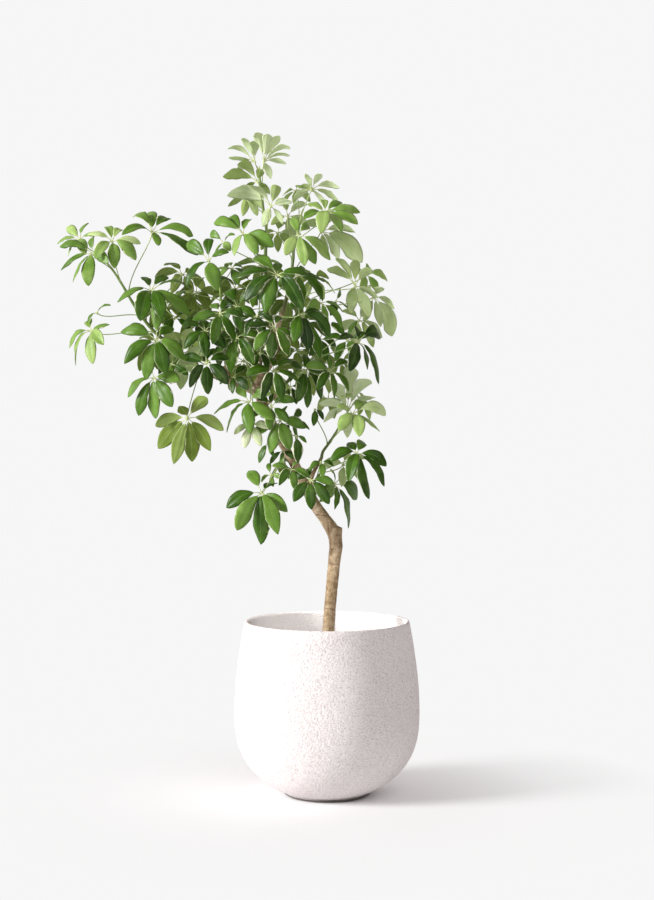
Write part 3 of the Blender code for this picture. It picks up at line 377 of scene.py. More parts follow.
# Leafy stems: the route of each beyond its woody end, its radius at the tip, and its leaves from
# the base up. A leaf is (x, z, depth, reach, pan, tilt, tips). Its upper side leans by tilt degrees
# towards pan, which is 0 at the front and 90 on the right. tips are the places (x, z) that its
# leaflets' ends are seen at, or only the number of leaflets where the crown hides them.
STEMS = {
    "leader_left": {
        "route": ((-10.2, 85.0, 1.5), (-10.3, 90.7, 1.5), (-10.1, 94.1, 1.2), (-10.6, 97.3, 1.0),
                  (-11.0, 101.0, 0.8), (-11.4, 104.2, 0.6)),
        "tip": 0.18,
        "leaves": (
            (-14.1, 93.8, -4.0, 6.0, -20, 50,
             ((-19.0, 95.6), (-16.6, 96.4), (-15.5, 90.1), (-12.8, 96.2), (-11.6, 90.3), (-8.9, 91.6))),
            (-9.4, 98.4, -2.0, 7.6, 165, 52,
             ((-16.8, 100.3), (-13.0, 101.9), (-8.4, 102.0), (-5.9, 99.3), (-7.4, 95.4), (-10.8, 95.0))),
            (-11.6, 102.5, -1.5, 6.0, -165, 40,
             ((-17.5, 103.4), (-14.9, 105.6), (-10.9, 104.6), (-9.6, 100.4), (-14.0, 100.8))),
            (-10.6, 105.9, 1.5, 5.4, 175, 50,
             ((-11.9, 110.8), (-9.9, 110.6), (-8.0, 110.3), (-6.2, 108.4), (-6.2, 107.0), (-6.8, 105.6),
              (-9.4, 103.0))),
            (-12.1, 105.9, -1.5, 5.0, -170, 50,
             ((-16.7, 108.1), (-16.5, 106.6), (-13.9, 109.9), (-12.3, 109.4), (-15.2, 104.3))),
        ),
    },
    "leader_right": {
        "route": ((-6.6, 84.0, -1.2), (-5.9, 87.7, -1.4), (-5.5, 91.5, -1.3), (-4.8, 94.3, -1.0),
                  (-4.3, 97.0, -0.6)),
        "tip": 0.16,
        "leaves": (
            (-4.9, 93.5, -5.0, 6.0, 15, 60,
             ((-3.8, 88.4), (-1.9, 88.7), (0.6, 89.4), (-5.9, 96.6), (-7.0, 90.2), (-2.9, 94.9))),
            (-1.0, 94.2, 2.0, 6.8, 170, 60,
             ((5.9, 89.0), (4.8, 94.0), (2.0, 89.6), (-0.2, 90.4), (-4.2, 95.5), (1.2, 97.6))),
            (-6.6, 96.8, 5.0, 5.2, 175, 50,
             ((-9.4, 95.3), (-7.4, 99.9), (-3.3, 98.8), (-3.1, 95.2), (-5.8, 92.6))),
            (-0.3, 97.2, -4.5, 6.0, 10, 35,
             ((5.6, 97.4), (5.2, 95.4), (2.5, 94.0), (-1.0, 93.9), (-3.9, 96.4), (-3.2, 98.9),
              (-0.7, 99.4), (2.5, 99.1))),
            (-5.2, 101.0, 3.0, 3.6, -150, 30, 6),
            (-2.6, 101.2, 0.0, 5.0, 165, 45,
             ((-3.5, 103.9), (-1.0, 103.9), (2.1, 101.5), (1.9, 99.3), (-0.2, 98.4), (-5.6, 99.6))),
        ),
    },
    "front": {
        "route": ((-9.3, 79.6, -4.4), (-9.5, 82.0, -5.4), (-9.4, 84.0, -6.2)),
        "tip": 0.16,
        "leaves": (
            (-8.9, 78.1, -10.0, 5.6, 5, 62,
             ((-9.4, 72.9), (-12.2, 74.2), (-13.4, 78.3), (-5.6, 76.6), (-6.4, 73.2), (-10.4, 79.9),
              (-7.6, 79.8))),
            (-4.6, 80.3, -8.0, 6.6, 30, 58,
             ((-5.6, 75.6), (-3.2, 74.3), (-1.1, 72.9), (0.5, 76.4), (-0.6, 80.3), (-6.4, 81.6))),
            (-15.0, 81.5, -3.0, 5.2, -40, 50,
             ((-18.4, 81.4), (-17.1, 83.9), (-16.8, 78.2), (-13.6, 77.6), (-11.2, 80.0), (-13.9, 83.0))),
            (-5.2, 87.0, -3.0, 5.4, 35, 55,
             ((-2.8, 82.4), (0.2, 83.2), (-4.4, 88.6), (-0.6, 86.9), (-7.0, 84.0))),
            (-8.3, 86.9, -9.5, 7.2, -5, 62,
             ((-15.4, 87.3), (-14.4, 83.2), (-11.4, 80.6), (-4.9, 80.5), (-3.1, 86.2),
              (-11.7, 90.2), (-7.6, 88.9))),
        ),
    },
    "right_up": {
        "route": ((-5.8, 79.0, 2.8), (-4.6, 81.5, 2.9), (-3.4, 83.6, 2.6)),
        "tip": 0.16,
        "leaves": (
            (-1.2, 82.2, -3.0, 5.2, 50, 55,
             ((2.7, 80.6), (2.6, 77.9), (0.0, 77.7), (-3.8, 79.5), (-1.6, 84.2))),
            (7.8, 83.2, -2.0, 7.2, 150, 68,
             ((10.9, 76.6), (9.0, 78.2), (11.3, 81.2), (6.2, 78.9), (6.3, 84.4), (8.9, 84.8))),
            (6.3, 86.9, 4.0, 4.4, 60, 50,
             ((8.6, 84.0), (10.0, 86.2), (6.0, 83.2), (4.6, 86.6), (6.6, 88.4))),
            (4.7, 85.1, -1.0, 5.8, 172, 62,
             ((1.0, 89.0), (2.9, 90.4), (5.9, 89.3), (8.4, 87.0), (7.9, 82.1), (5.7, 79.4), (2.6, 80.9))),
        ),
    },
    "left_end": {
        "route": ((-26.6, 75.4, -0.8), (-29.0, 77.5, -1.0), (-31.0, 79.9, -1.0), (-32.7, 82.5, -0.8),
                  (-34.2, 85.1, -0.5), (-35.8, 87.6, 0.0), (-37.6, 89.8, 0.5)),
        "tip": 0.16,
        "leaves": (
            (-28.6, 76.0, -6.5, 6.9, -5, 64,
             ((-34.6, 77.4), (-34.0, 72.0), (-30.4, 69.3), (-27.0, 70.3), (-23.6, 72.4), (-28.2, 82.9),
              (-25.6, 77.9))),
            (-39.5, 77.6, -2.0, 6.2, -45, 58,
             ((-43.2, 74.6), (-42.1, 71.6), (-39.2, 72.0), (-37.4, 75.2), (-39.8, 79.3), (-36.4, 78.6))),
            (-24.3, 87.0, 4.0, 5.2, 150, 40, 6),
            (-29.5, 84.3, -3.0, 7.0, 5, 42,
             ((-35.2, 82.3), (-31.3, 79.2), (-27.6, 79.6), (-23.0, 80.2), (-22.4, 84.2), (-26.6, 86.6),
              (-30.8, 86.6))),
            (-29.3, 94.0, 4.0, 6.8, 25, 35,
             ((-32.6, 96.6), (-34.4, 93.6), (-30.0, 97.4), (-26.4, 96.2), (-22.4, 93.4), (-21.6, 90.2),
              (-28.2, 91.8))),
            (-36.0, 92.5, -3.0, 5.2, 10, 45,
             ((-40.2, 93.8), (-36.9, 95.0), (-34.5, 94.5), (-31.2, 92.2), (-32.0, 89.4), (-35.6, 88.0),
              (-38.9, 89.6))),
            (-39.2, 90.4, -3.5, 6.2, -35, 45,
             ((-45.4, 90.6), (-44.5, 86.8), (-41.4, 85.6), (-38.4, 85.6), (-35.6, 89.8), (-40.2, 92.6))),
            (-41.4, 92.8, 0.0, 4.6, -50, 35,
             ((-44.2, 94.5), (-45.5, 91.9), (-42.9, 90.2), (-39.9, 90.6), (-37.9, 93.8), (-40.6, 95.2))),
        ),
    },
    "left_low": {
        "route": ((-21.5, 71.5, -4.2), (-22.2, 72.6, -5.4)),
        "tip": 0.18,
        "leaves": (
            (-23.4, 62.9, -5.5, 7.6, 175, 72,
             ((-28.8, 61.6), (-28.3, 57.8), (-25.7, 55.2), (-22.6, 55.6), (-19.5, 57.4), (-17.3, 60.9),
              (-20.0, 66.3), (-24.9, 64.9))),
            (-29.0, 69.7, -4.5, 6.8, -25, 60,
             ((-33.4, 66.4), (-31.6, 63.3), (-28.7, 62.8), (-25.9, 64.8), (-24.6, 69.2), (-29.6, 71.4))),
            (-24.4, 73.8, 2.5, 6.2, 175, 65,
             ((-26.9, 77.8), (-22.0, 77.6), (-20.4, 73.2), (-22.2, 69.2), (-25.4, 67.8), (-28.6, 71.4))),
            (-20.4, 77.6, -4.0, 5.2, -30, 55,
             ((-24.2, 74.9), (-23.9, 79.0), (-20.4, 79.6), (-17.4, 78.6), (-17.6, 74.2), (-21.0, 73.0))),
            (-20.2, 72.1, -9.0, 5.4, 0, 66,
             ((-20.6, 76.6), (-24.6, 73.0), (-23.0, 68.0), (-19.9, 66.9), (-16.6, 68.6), (-16.4, 73.0))),
        ),
    },
    "left_up": {
        "route": ((-17.2, 75.0, 0.6), (-17.5, 79.0, 0.4), (-17.8, 83.0, 0.2), (-18.0, 85.2, 0.0)),
        "tip": 0.16,
        "leaves": (
            (-15.2, 76.3, -6.5, 6.0, -10, 58,
             ((-19.2, 73.4), (-16.2, 70.4), (-12.2, 71.8), (-10.9, 76.2), (-14.2, 78.6), (-17.9, 78.0))),
            (-17.9, 80.5, -9.0, 5.6, 5, 60,
             ((-19.2, 75.3), (-15.4, 75.9), (-13.4, 79.8), (-16.8, 82.8), (-19.5, 82.0), (-22.6, 79.4))),
            (-21.9, 84.0, 3.0, 5.0, -150, 50, 6),
            (-19.8, 89.2, -4.0, 6.0, -20, 55,
             ((-23.6, 84.9), (-18.3, 84.2), (-23.6, 92.0), (-19.6, 93.0), (-16.4, 90.7))),
        ),
    },
    "centre_low": {
        "route": ((-12.9, 70.0, -3.0), (-13.3, 71.6, -4.2)),
        "tip": 0.18,
        "leaves": (
            (-12.6, 61.8, -4.0, 4.2, -20, 65,
             ((-15.6, 60.2), (-13.8, 57.9), (-11.0, 58.2), (-9.4, 61.2), (-12.2, 63.6))),
            (-13.1, 65.7, -5.0, 6.4, -30, 52,
             ((-19.0, 63.6), (-16.8, 60.4), (-12.8, 60.2), (-8.9, 62.6), (-9.4, 67.0), (-15.2, 68.2))),
            (-9.0, 70.8, -6.5, 5.6, 15, 60,
             ((-11.0, 65.8), (-7.6, 65.8), (-4.4, 68.6), (-5.6, 72.4), (-9.2, 73.0), (-13.6, 70.2))),
            (-13.7, 76.6, 4.0, 5.8, 15, 62,
             ((-11.0, 71.5), (-15.2, 71.0), (-18.6, 74.6), (-8.8, 75.8), (-12.4, 79.0), (-15.6, 78.8))),
        ),
    },
    "right_mid": {
        "route": ((-6.4, 69.4, 0.2), (-4.7, 71.3, 0.1), (-3.0, 72.6, 0.0)),
        "tip": 0.18,
        "leaves": (
            (-4.0, 70.8, -3.0, 6.2, 45, 68,
             ((-5.6, 66.1), (-3.9, 64.6), (-1.4, 65.8), (0.4, 70.2), (-3.2, 73.2), (-6.2, 72.4))),
            (-3.2, 71.3, 5.0, 5.2, 150, 60, 6),
            (0.5, 70.6, -2.5, 5.0, 25, 50,
             ((3.6, 67.4), (1.2, 66.2), (-1.6, 67.6), (-3.6, 71.6), (0.2, 72.8), (3.6, 72.4))),
            (5.4, 79.3, 2.5, 5.2, 160, 60,
             ((8.4, 75.6), (6.6, 74.4), (3.2, 75.4), (1.4, 78.6), (3.2, 81.4), (7.4, 80.8))),
            (3.5, 75.9, 1.0, 4.6, -20, 42,
             ((-0.6, 76.6), (1.4, 79.4), (5.4, 79.2), (6.9, 76.2), (4.4, 72.4), (1.0, 72.8))),
            (4.9, 75.6, -3.0, 7.0, 55, 55,
             ((8.3, 68.3), (6.2, 71.2), (3.0, 71.4), (9.4, 75.6), (1.6, 76.6), (5.4, 77.8))),
        ),
    },
    "right_low": {
        "route": ((-0.7, 57.3, 0.2), (0.3, 58.7, 0.1), (1.3, 60.2, 0.0), (2.2, 61.8, 0.0)),
        "tip": 0.18,
        "leaves": (
            (4.3, 63.6, -3.0, 5.8, 40, 40,
             ((5.4, 59.8), (8.9, 60.6), (9.9, 63.4), (2.0, 60.8), (1.6, 64.8), (6.0, 65.6))),
            (3.4, 64.2, 1.0, 7.4, 175, 55,
             ((1.4, 68.9), (8.0, 66.4), (-1.4, 65.4), (-0.6, 62.2), (4.1, 71.6), (7.2, 69.4),
              (3.4, 59.6))),
        ),
    },
    "low_right": {
        "route": ((-1.6, 53.0, -3.2), (-1.0, 53.9, -3.8)),
        "tip": 0.18,
        "leaves": (
            (-2.8, 52.5, -5.0, 5.4, -5, 58,
             ((-5.6, 48.9), (-2.6, 47.6), (0.4, 48.5), (1.2, 52.0), (-6.6, 52.8), (-3.2, 54.4))),
            (1.2, 51.8, -2.0, 7.8, 60, 62,
             ((3.1, 44.1), (5.0, 48.4), (0.9, 47.8), (-1.6, 49.8), (3.6, 53.2), (0.8, 53.8))),
            (2.7, 55.1, 2.0, 4.8, 60, 45,
             ((5.8, 52.4), (6.9, 56.2), (2.4, 51.4), (-0.8, 54.6), (2.8, 57.2))),
            (5.0, 56.9, -4.0, 7.6, 15, 52,
             ((0.5, 55.7), (3.6, 52.2), (7.1, 49.3), (9.6, 51.4), (10.0, 54.9), (6.2, 58.9), (3.4, 58.8))),
        ),
    },
    "low_left": {
        "route": ((-7.0, 55.0, -2.2), (-7.4, 55.8, -3.0)),
        "tip": 0.18,
        "leaves": (
            (-6.0, 54.3, -4.5, 3.8, 10, 63,
             ((-7.6, 51.4), (-4.9, 50.9), (-2.7, 53.2), (-5.0, 55.8), (-9.2, 54.6))),
            (-7.5, 55.6, 1.5, 4.4, -100, 50, 6),
            (-11.0, 50.4, -5.0, 8.4, -5, 66,
             ((-16.9, 47.9), (-15.1, 44.1), (-11.1, 41.7), (-8.2, 43.4), (-6.6, 47.2), (-13.2, 54.1),
              (-8.6, 51.9))),
        ),
    },
    "trunk_side": {
        "route": ((-9.0, 61.5, -1.9), (-9.2, 62.5, -2.6)),
        "tip": 0.16,
        "leaves": (
            (-7.8, 62.6, -4.5, 5.8, -15, 60,
             ((-12.4, 59.8), (-9.6, 57.0), (-6.2, 57.6), (-3.6, 61.2), (-7.0, 64.8), (-11.2, 63.6))),
            (-6.1, 62.2, -1.5, 4.0, 35, 60,
             ((-7.9, 59.0), (-5.0, 58.4), (-2.9, 61.0), (-4.2, 64.0), (-7.8, 63.6))),
            (-9.3, 64.9, -7.0, 4.4, -10, 58,
             ((-12.8, 63.4), (-10.2, 60.9), (-7.0, 61.8), (-5.4, 65.2), (-8.8, 67.0), (-11.4, 66.6))),
        ),
    },
    "back": {
        "route": ((-11.3, 74.4, 5.2), (-11.5, 77.2, 6.6), (-11.4, 80.0, 7.4)),
        "tip": 0.16,
        "leaves": (
            (-5.0, 74.5, 10.0, 6.0, 150, 55, 7),
            (-14.0, 72.5, 12.0, 6.2, -160, 60, 7),
            (-6.5, 83.0, 11.5, 6.2, 160, 50, 7),
            (-15.5, 84.5, 12.0, 6.0, -160, 45, 7),
            (-11.0, 88.5, 9.5, 5.6, 170, 35, 7),
        ),
    },
    "back_left": {
        "route": ((-22.5, 74.4, 3.6), (-23.0, 76.2, 5.0), (-23.4, 78.2, 6.0)),
        "tip": 0.16,
        "leaves": (
            (-28.5, 75.5, 9.0, 6.0, -150, 50, 7),
            (-20.5, 79.5, 11.0, 6.0, 165, 50, 7),
            (-27.0, 81.5, 8.5, 5.6, -160, 38, 7),
        ),
    },
}

# How each leaf looks, in the order of STEMS: paleness from 0, old and dark green, to 1 or more, young
# and pale, with painted light from behind in the palest, and how much of it is variegated with cream,
# from 0 to 1
LOOKS = {
    "leader_left": ((0.42, 0.0), (0.80, 0.1), (0.55, 0.0), (1.08, 0.0), (0.92, 0.0)),
    "leader_right": ((0.52, 0.1), (0.82, 0.1), (0.76, 0.0), (0.50, 0.5), (0.62, 0.2), (0.92, 0.0)),
    "front": ((0.12, 0.7), (0.08, 0.3), (0.10, 0.2), (0.30, 0.1), (0.16, 0.4)),
    "right_up": ((0.32, 0.2), (0.80, 0.1), (0.60, 0.1), (0.78, 0.1)),
    "left_end": ((0.28, 0.1), (0.50, 0.2), (0.40, 0.2), (0.30, 0.2), (0.36, 0.2), (0.62, 0.4),
                 (0.42, 0.1), (0.50, 0.0)),
    "left_low": ((0.30, 0.1), (0.26, 0.3), (0.70, 0.1), (0.10, 0.2), (0.05, 0.2)),
    "left_up": ((0.22, 0.7), (0.18, 0.3), (0.35, 0.2), (0.24, 0.1)),
    "centre_low": ((0.95, 0.9), (0.34, 0.3), (0.08, 0.4), (0.30, 0.6)),
    "right_mid": ((0.10, 0.3), (0.45, 0.2), (0.28, 0.6), (0.74, 0.1), (0.30, 0.6), (0.05, 0.2)),
    "right_low": ((0.70, 0.1), (1.08, 0.0)),
    "low_right": ((0.20, 0.1), (0.22, 0.1), (0.80, 0.2), (0.18, 0.1)),
    "low_left": ((0.34, 0.4), (0.30, 0.5), (0.30, 0.1)),
    "trunk_side": ((0.30, 0.4), (0.22, 0.5), (0.28, 0.5)),
    "back": ((0.25, 0.2), (0.30, 0.2), (0.30, 0.3), (0.35, 0.1), (0.40, 0.1)),
    "back_left": ((0.30, 0.2), (0.28, 0.2), (0.36, 0.1)),
}

# Smaller leaves between those of STEMS, as (share of the stem, leaf as in STEMS, paleness, cream)
SMALL_LEAVES = {
    "leader_left": (
        (0.35, (-17.3, 92.3, 1.5, 3.4, -60, 45,
         ((-19.6, 93.4), (-18.8, 90.6), (-16.2, 90.9), (-15.4, 93.6))), 0.5, 0.1),
        (0.70, (-13.4, 99.8, 2.0, 4.0, 160, 45, 6), 0.6, 0.1),
    ),
    "leader_right": (
        (0.55, (-8.2, 94.0, 2.0, 4.2, -160, 45, 6), 0.6, 0.2),
    ),
    "front": (
        (0.20, (-7.0, 75.4, -7.0, 4.4, 25, 55,
         ((-8.8, 72.0), (-6.2, 71.2), (-4.2, 73.6), (-5.4, 77.6))), 0.15, 0.5),
        (0.55, (-11.8, 80.0, -6.5, 4.2, -20, 52,
         ((-14.6, 79.0), (-13.6, 76.8), (-10.6, 76.6), (-9.4, 79.4))), 0.1, 0.5),
        (0.85, (-11.6, 84.4, -4.0, 4.2, -30, 40, 6), 0.2, 0.4),
    ),
    "right_up": (
        (0.45, (1.5, 82.5, 1.0, 3.6, 60, 55,
         ((3.6, 80.9), (2.6, 84.2), (0.2, 80.4))), 0.2, 0.1),
        (0.75, (-2.4, 86.2, 3.0, 4.6, 160, 45, 6), 0.4, 0.2),
    ),
    "left_end": (
        (0.20, (-25.6, 79.6, 1.5, 4.4, 20, 45,
         ((-28.4, 77.6), (-26.2, 76.4), (-22.8, 78.2), (-23.6, 81.6))), 0.2, 0.2),
        (0.50, (-38.6, 80.6, -1.0, 3.2, -50, 50,
         ((-40.2, 78.8), (-36.2, 81.8))), 0.25, 0.0),
    ),
    "left_low": (
        (0.60, (-26.0, 72.0, -2.0, 4.4, -20, 55,
         ((-28.4, 70.6), (-26.6, 68.6), (-23.6, 69.8), (-24.0, 73.8))), 0.2, 0.3),
        (0.85, (-18.2, 74.6, -5.0, 4.4, 10, 55,
         ((-20.4, 72.2), (-17.6, 71.4), (-15.6, 73.8), (-17.4, 77.2))), 0.1, 0.4),
    ),
    "left_up": (
        (0.60, (-21.9, 78.6, -1.5, 4.2, -20, 50,
         ((-24.4, 77.2), (-22.2, 75.4), (-19.6, 76.8), (-20.6, 80.6))), 0.15, 0.3),
        (0.80, (-15.4, 84.6, 2.0, 4.6, 150, 45, 6), 0.3, 0.2),
        (0.95, (-16.0, 88.0, 1.0, 4.0, 20, 40, 6), 0.35, 0.2),
    ),
    "centre_low": (
        (0.50, (-15.6, 69.8, -4.5, 4.2, -20, 55,
         ((-18.0, 68.6), (-15.8, 67.0), (-13.2, 67.6), (-13.6, 71.6))), 0.1, 0.5),
        (0.80, (-11.2, 73.8, -5.0, 4.2, 10, 55,
         ((-13.4, 71.8), (-10.8, 70.8), (-8.8, 72.6), (-10.2, 76.4))), 0.12, 0.6),
    ),
    "right_mid": (
        (0.40, (-6.2, 68.2, -1.5, 4.2, 20, 60,
         ((-8.2, 66.0), (-6.0, 65.2), (-4.2, 67.0), (-5.2, 70.6))), 0.1, 0.4),
        (0.60, (-1.2, 76.2, -1.0, 4.8, 40, 60,
         ((-3.4, 73.8), (-0.6, 72.4), (1.4, 74.4), (0.2, 78.8))), 0.12, 0.3),
        (0.85, (0.2, 66.2, 2.0, 4.6, 160, 60,
         ((-1.6, 63.6), (1.2, 62.8), (2.4, 65.4), (0.4, 69.4))), 0.6, 0.1),
        (0.95, (2.2, 72.4, 3.0, 4.6, 150, 60, 6), 0.6, 0.2),
    ),
    "right_low": (
        (0.55, (-2.0, 64.4, -1.0, 3.4, 30, 70,
         ((-2.3, 61.6), (-0.6, 62.6))), 0.1, 0.1),
        (0.75, (5.4, 66.4, 3.5, 4.6, 60, 50, 6), 0.7, 0.1),
    ),
    "low_right": (
        (0.40, (-1.0, 55.6, -5.0, 3.6, 20, 55,
         ((-3.0, 54.2), (-0.8, 53.0), (1.2, 54.8))), 0.25, 0.2),
    ),
    "low_left": (
        (0.50, (-7.4, 57.4, -3.0, 4.0, -20, 60,
         ((-9.6, 55.2), (-7.6, 54.4), (-5.4, 56.2))), 0.2, 0.5),
        (0.90, (-9.4, 53.4, -2.5, 3.4, -30, 60,
         ((-11.2, 52.6), (-9.6, 51.2), (-8.0, 52.4), (-9.2, 55.6))), 0.45, 0.2),
    ),
    "trunk_side": (
        (0.60, (-9.9, 58.8, -3.5, 4.0, -30, 62,
         ((-11.8, 55.6), (-9.2, 56.2), (-8.2, 58.4))), 0.2, 0.4),
        (0.90, (-5.2, 60.0, -3.5, 4.6, 15, 70,
         ((-4.9, 55.4), (-3.4, 58.8))), 0.2, 0.8),
    ),
    "back": (
        (0.40, (-9.0, 77.0, 6.0, 5.4, 170, 50, 7), 0.2, 0.2),
        (0.60, (-15.5, 78.0, 7.0, 5.4, -150, 50, 7), 0.2, 0.2),
        (0.75, (-10.0, 70.0, 8.5, 5.4, 170, 60, 7), 0.2, 0.3),
        (0.95, (-3.5, 79.0, 7.5, 5.2, 140, 50, 7), 0.2, 0.2),
    ),
    "back_left": (
        (0.50, (-24.0, 73.5, 8.0, 5.0, -170, 55, 7), 0.2, 0.2),
        (0.85, (-23.5, 83.0, 9.0, 4.8, 170, 35, 7), 0.3, 0.2),
    ),
}


def seen(x, z, depth):
    """The point that appears at (x, z) centimetres on the upright plane, moved back by depth."""
    on_plane = Vector((x * CM, 0.0, z * CM))
    return EYE + (on_plane - EYE) * (1.0 + depth * CM / -EYE.y)


def rod(knots):
    """Points and radii in metres of knots (x, z, depth, radius)."""
    return [seen(*knot[:3]) for knot in knots], [knot[3] * CM for knot in knots]


Leaf = namedtuple("Leaf", "x z depth reach pan tilt tips")


def leaf_frame(pan, tilt):
    """Normal, uphill and sideways directions of a leaf's plane."""
    pan = math.radians(pan)
    tilt = math.radians(tilt)
    lean = Vector((math.sin(pan), -math.cos(pan), 0.0))
    normal = lean * math.sin(tilt) + UP * math.cos(tilt)
    uphill = UP * math.sin(tilt) - lean * math.cos(tilt)
    return normal, uphill, uphill.cross(normal)


def leaflet_vectors(hub, depth, leaf, twist, normal, uphill, side, rng):
    """From the hub to each leaflet's end, in order round the hub, each with its angle there."""
    reach = leaf.reach * CM
    vectors = []
    if isinstance(leaf.tips, int):
        for index in range(leaf.tips):
            angle = math.radians(360 * index / leaf.tips + rng.uniform(-LEAFLET_SWAY, LEAFLET_SWAY))
            length = reach * rng.uniform(LEAFLET_SHORTEST, 1.0)
            along = uphill * math.cos(angle) + side * math.sin(angle)
            vectors.append((along - UP * HIDDEN_SINK).normalized() * length)
    else:
        facing = math.copysign(max(abs(normal.y), FLATTEST), normal.y)
        for x, z in leaf.tips:
            flat = seen(x, z, depth) - hub
            most = math.sqrt(max(0.0, reach ** 2 - flat.length_squared))
            rise = -(normal.x * flat.x + normal.z * flat.z) / facing
            if flat.dot(uphill) > 0.0:
                rise = math.copysign(max(abs(rise), most * FAR_SIDE), rise)
            rise = max(-most, min(most, rise))
            vectors.append(seen(x, z, depth + rise / CM) - hub)
    turn = Matrix.Rotation(math.radians(twist), 3, normal)
    vectors = [turn @ vector for vector in vectors]
    angles = [math.atan2(vector.dot(side), vector.dot(uphill)) for vector in vectors]
    return sorted(zip(angles, vectors), key=lambda pair: pair[0])


def leaf_sheet(hub, depth, leaf, twist, lean, rng):
    """Corners and triangles of one plain leaf, and each leaflet's (vector, across, arch, rooms)."""
    normal, uphill, side = leaf_frame(leaf.pan, leaf.tilt + lean)
    leaflets = leaflet_vectors(hub, depth, leaf, twist, normal, uphill, side, rng)
    count = len(leaflets)
    angles = [angle for angle, _ in leaflets]
    gaps = [(angles[(index + 1) % count] - angles[index]) % math.tau for index in range(count)]
    spread = math.radians(HUB_SPREAD)
    corners = []
    roots = []
    made = []
    for index, angle in enumerate(angles):
        ends = (angle - min(gaps[index - 1] / 2, spread), angle + min(gaps[index] / 2, spread))
        pair = []
        for end in ends:
            place = hub + (uphill * math.cos(end) + side * math.sin(end)) * HUB_RADIUS
            if not corners or (place - corners[-1]).length > WELD:
                corners.append(place)
            pair.append(len(corners) - 1)
        roots.append(pair)
    if (corners[-1] - corners[0]).length < WELD:
        corners.pop()
        roots[-1][1] = 0
    faces = [(0, index + 1, index) for index in range(1, len(corners) - 1)]
    for index, (_, vector) in enumerate(leaflets):
        length = vector.length
        across = vector.cross(normal).normalized()
        arch = (normal * ARCH_OUT + UP * ARCH_UP) * (4 * length * rng.uniform(*ARCH_RANGE))
        rooms = [math.tan(min(gap / 2, spread)) * LEAFLET_ROOM for gap in (gaps[index - 1], gaps[index])]
        made.append((vector, across, arch, rooms))
        left, right = roots[index]
        for share, half_width in LEAFLET:
            middle = hub + vector * share + arch * share * (1 - share)
            before, after = (min(half_width, room * share) * length for room in rooms)
            corners += [middle - across * before, middle + across * after]
            first = len(corners) - 2
            faces += [(left, right, first + 1), (left, first + 1, first)]
            left = first
            right = first + 1
        corners.append(hub + vector)
        faces.append((left, right, len(corners) - 1))
    return corners, faces, made


def petiole_route(start, heading, hub, normal, spans):
    """Stalk of a leaf: it leaves the stem, bends over and meets the hub from underneath."""
    span = (hub - start).length
    leaving = heading.lerp((hub - start).normalized(), 1.0 - PETIOLE_ALONG_STEM)
    first = start + leaving * span * PETIOLE_RISE
    second = hub - normal * span * PETIOLE_ARRIVAL
    route = []
    for step in range(spans + 1):
        t = step / spans
        s = 1 - t
        route.append(start * s ** 3 + first * 3 * s * s * t + second * 3 * s * t * t + hub * t ** 3)
    return route


def beads(route, radii):
    """Points closely spaced along a route, each with the radius there."""
    out = []
    for (a, b), (first, last) in zip(zip(route, route[1:]), zip(radii, radii[1:])):
        count = max(1, int((b - a).length / BEAD_STEP))
        for index in range(count):
            share = index / count
            out.append((a.lerp(b, share), first + (last - first) * share))
    out.append((route[-1], radii[-1]))
    return out


class Crown:
    """The places that the wood, stems, stalks and blades already take up."""

    def __init__(self):
        self.beads = []
        self.blades = []
        self.tree = None

    def add_rod(self, owner, route, radii):
        self.beads += [(owner, point, radius) for point, radius in beads(route, radii)]
        self.tree = KDTree(len(self.beads))
        for index, (_, point, _) in enumerate(self.beads):
            self.tree.insert(point, index)
        self.tree.balance()

    def add_blade(self, owner, hub, thin, fat):
        self.blades.append((owner, hub, thin, fat))

    def is_clear(self, owner, stalk, hub, reach, thin, fat, own_too):
        """Whether a leaf meets nothing, or with own_too False, nothing of another stem."""
        blades = [blade for blade in self.blades if own_too or blade[0] != owner]
        for _, other_hub, _, other_fat in blades:
            if (other_hub - hub).length < reach + LONGEST and fat.overlap(other_fat):
                return False
        for _, index, _ in self.tree.find_range(hub, reach + THICKEST):
            bead_owner, point, radius = self.beads[index]
            if own_too or bead_owner != owner:
                if thin.find_nearest(point, radius + CLEAR)[0] is not None:
                    return False
        for place, (point, radius) in enumerate(stalk):
            rooted = place < ROOT_BEADS
            for blade_owner, _, blade_thin, _ in blades:
                own = rooted and blade_owner == owner
                if not own and blade_thin.find_nearest(point, radius + CLEAR)[0] is not None:
                    return False
            for _, index, distance in self.tree.find_range(point, THICKEST + radius + CLEAR):
                bead_owner, _, bead_radius = self.beads[index]
                if bead_owner != owner and distance < bead_radius + radius + CLEAR:
                    return False
        return True


def shells(mesh):
    """Search trees of a thin sheet and of its two faces moved apart by the clearance."""
    corners = [corner.co.copy() for corner in mesh.vertices]
    normals = [corner.normal.copy() for corner in mesh.vertices]
    faces = [tuple(face.vertices) for face in mesh.polygons]
    shift = BLADE / 2 + CLEAR / 2
    both = [c + n * shift for c, n in zip(corners, normals)]
    both += [c - n * shift for c, n in zip(corners, normals)]
    doubled = faces + [tuple(corner + len(corners) for corner in face) for face in faces]
    return BVHTree.FromPolygons(corners, faces), BVHTree.FromPolygons(both, doubled)


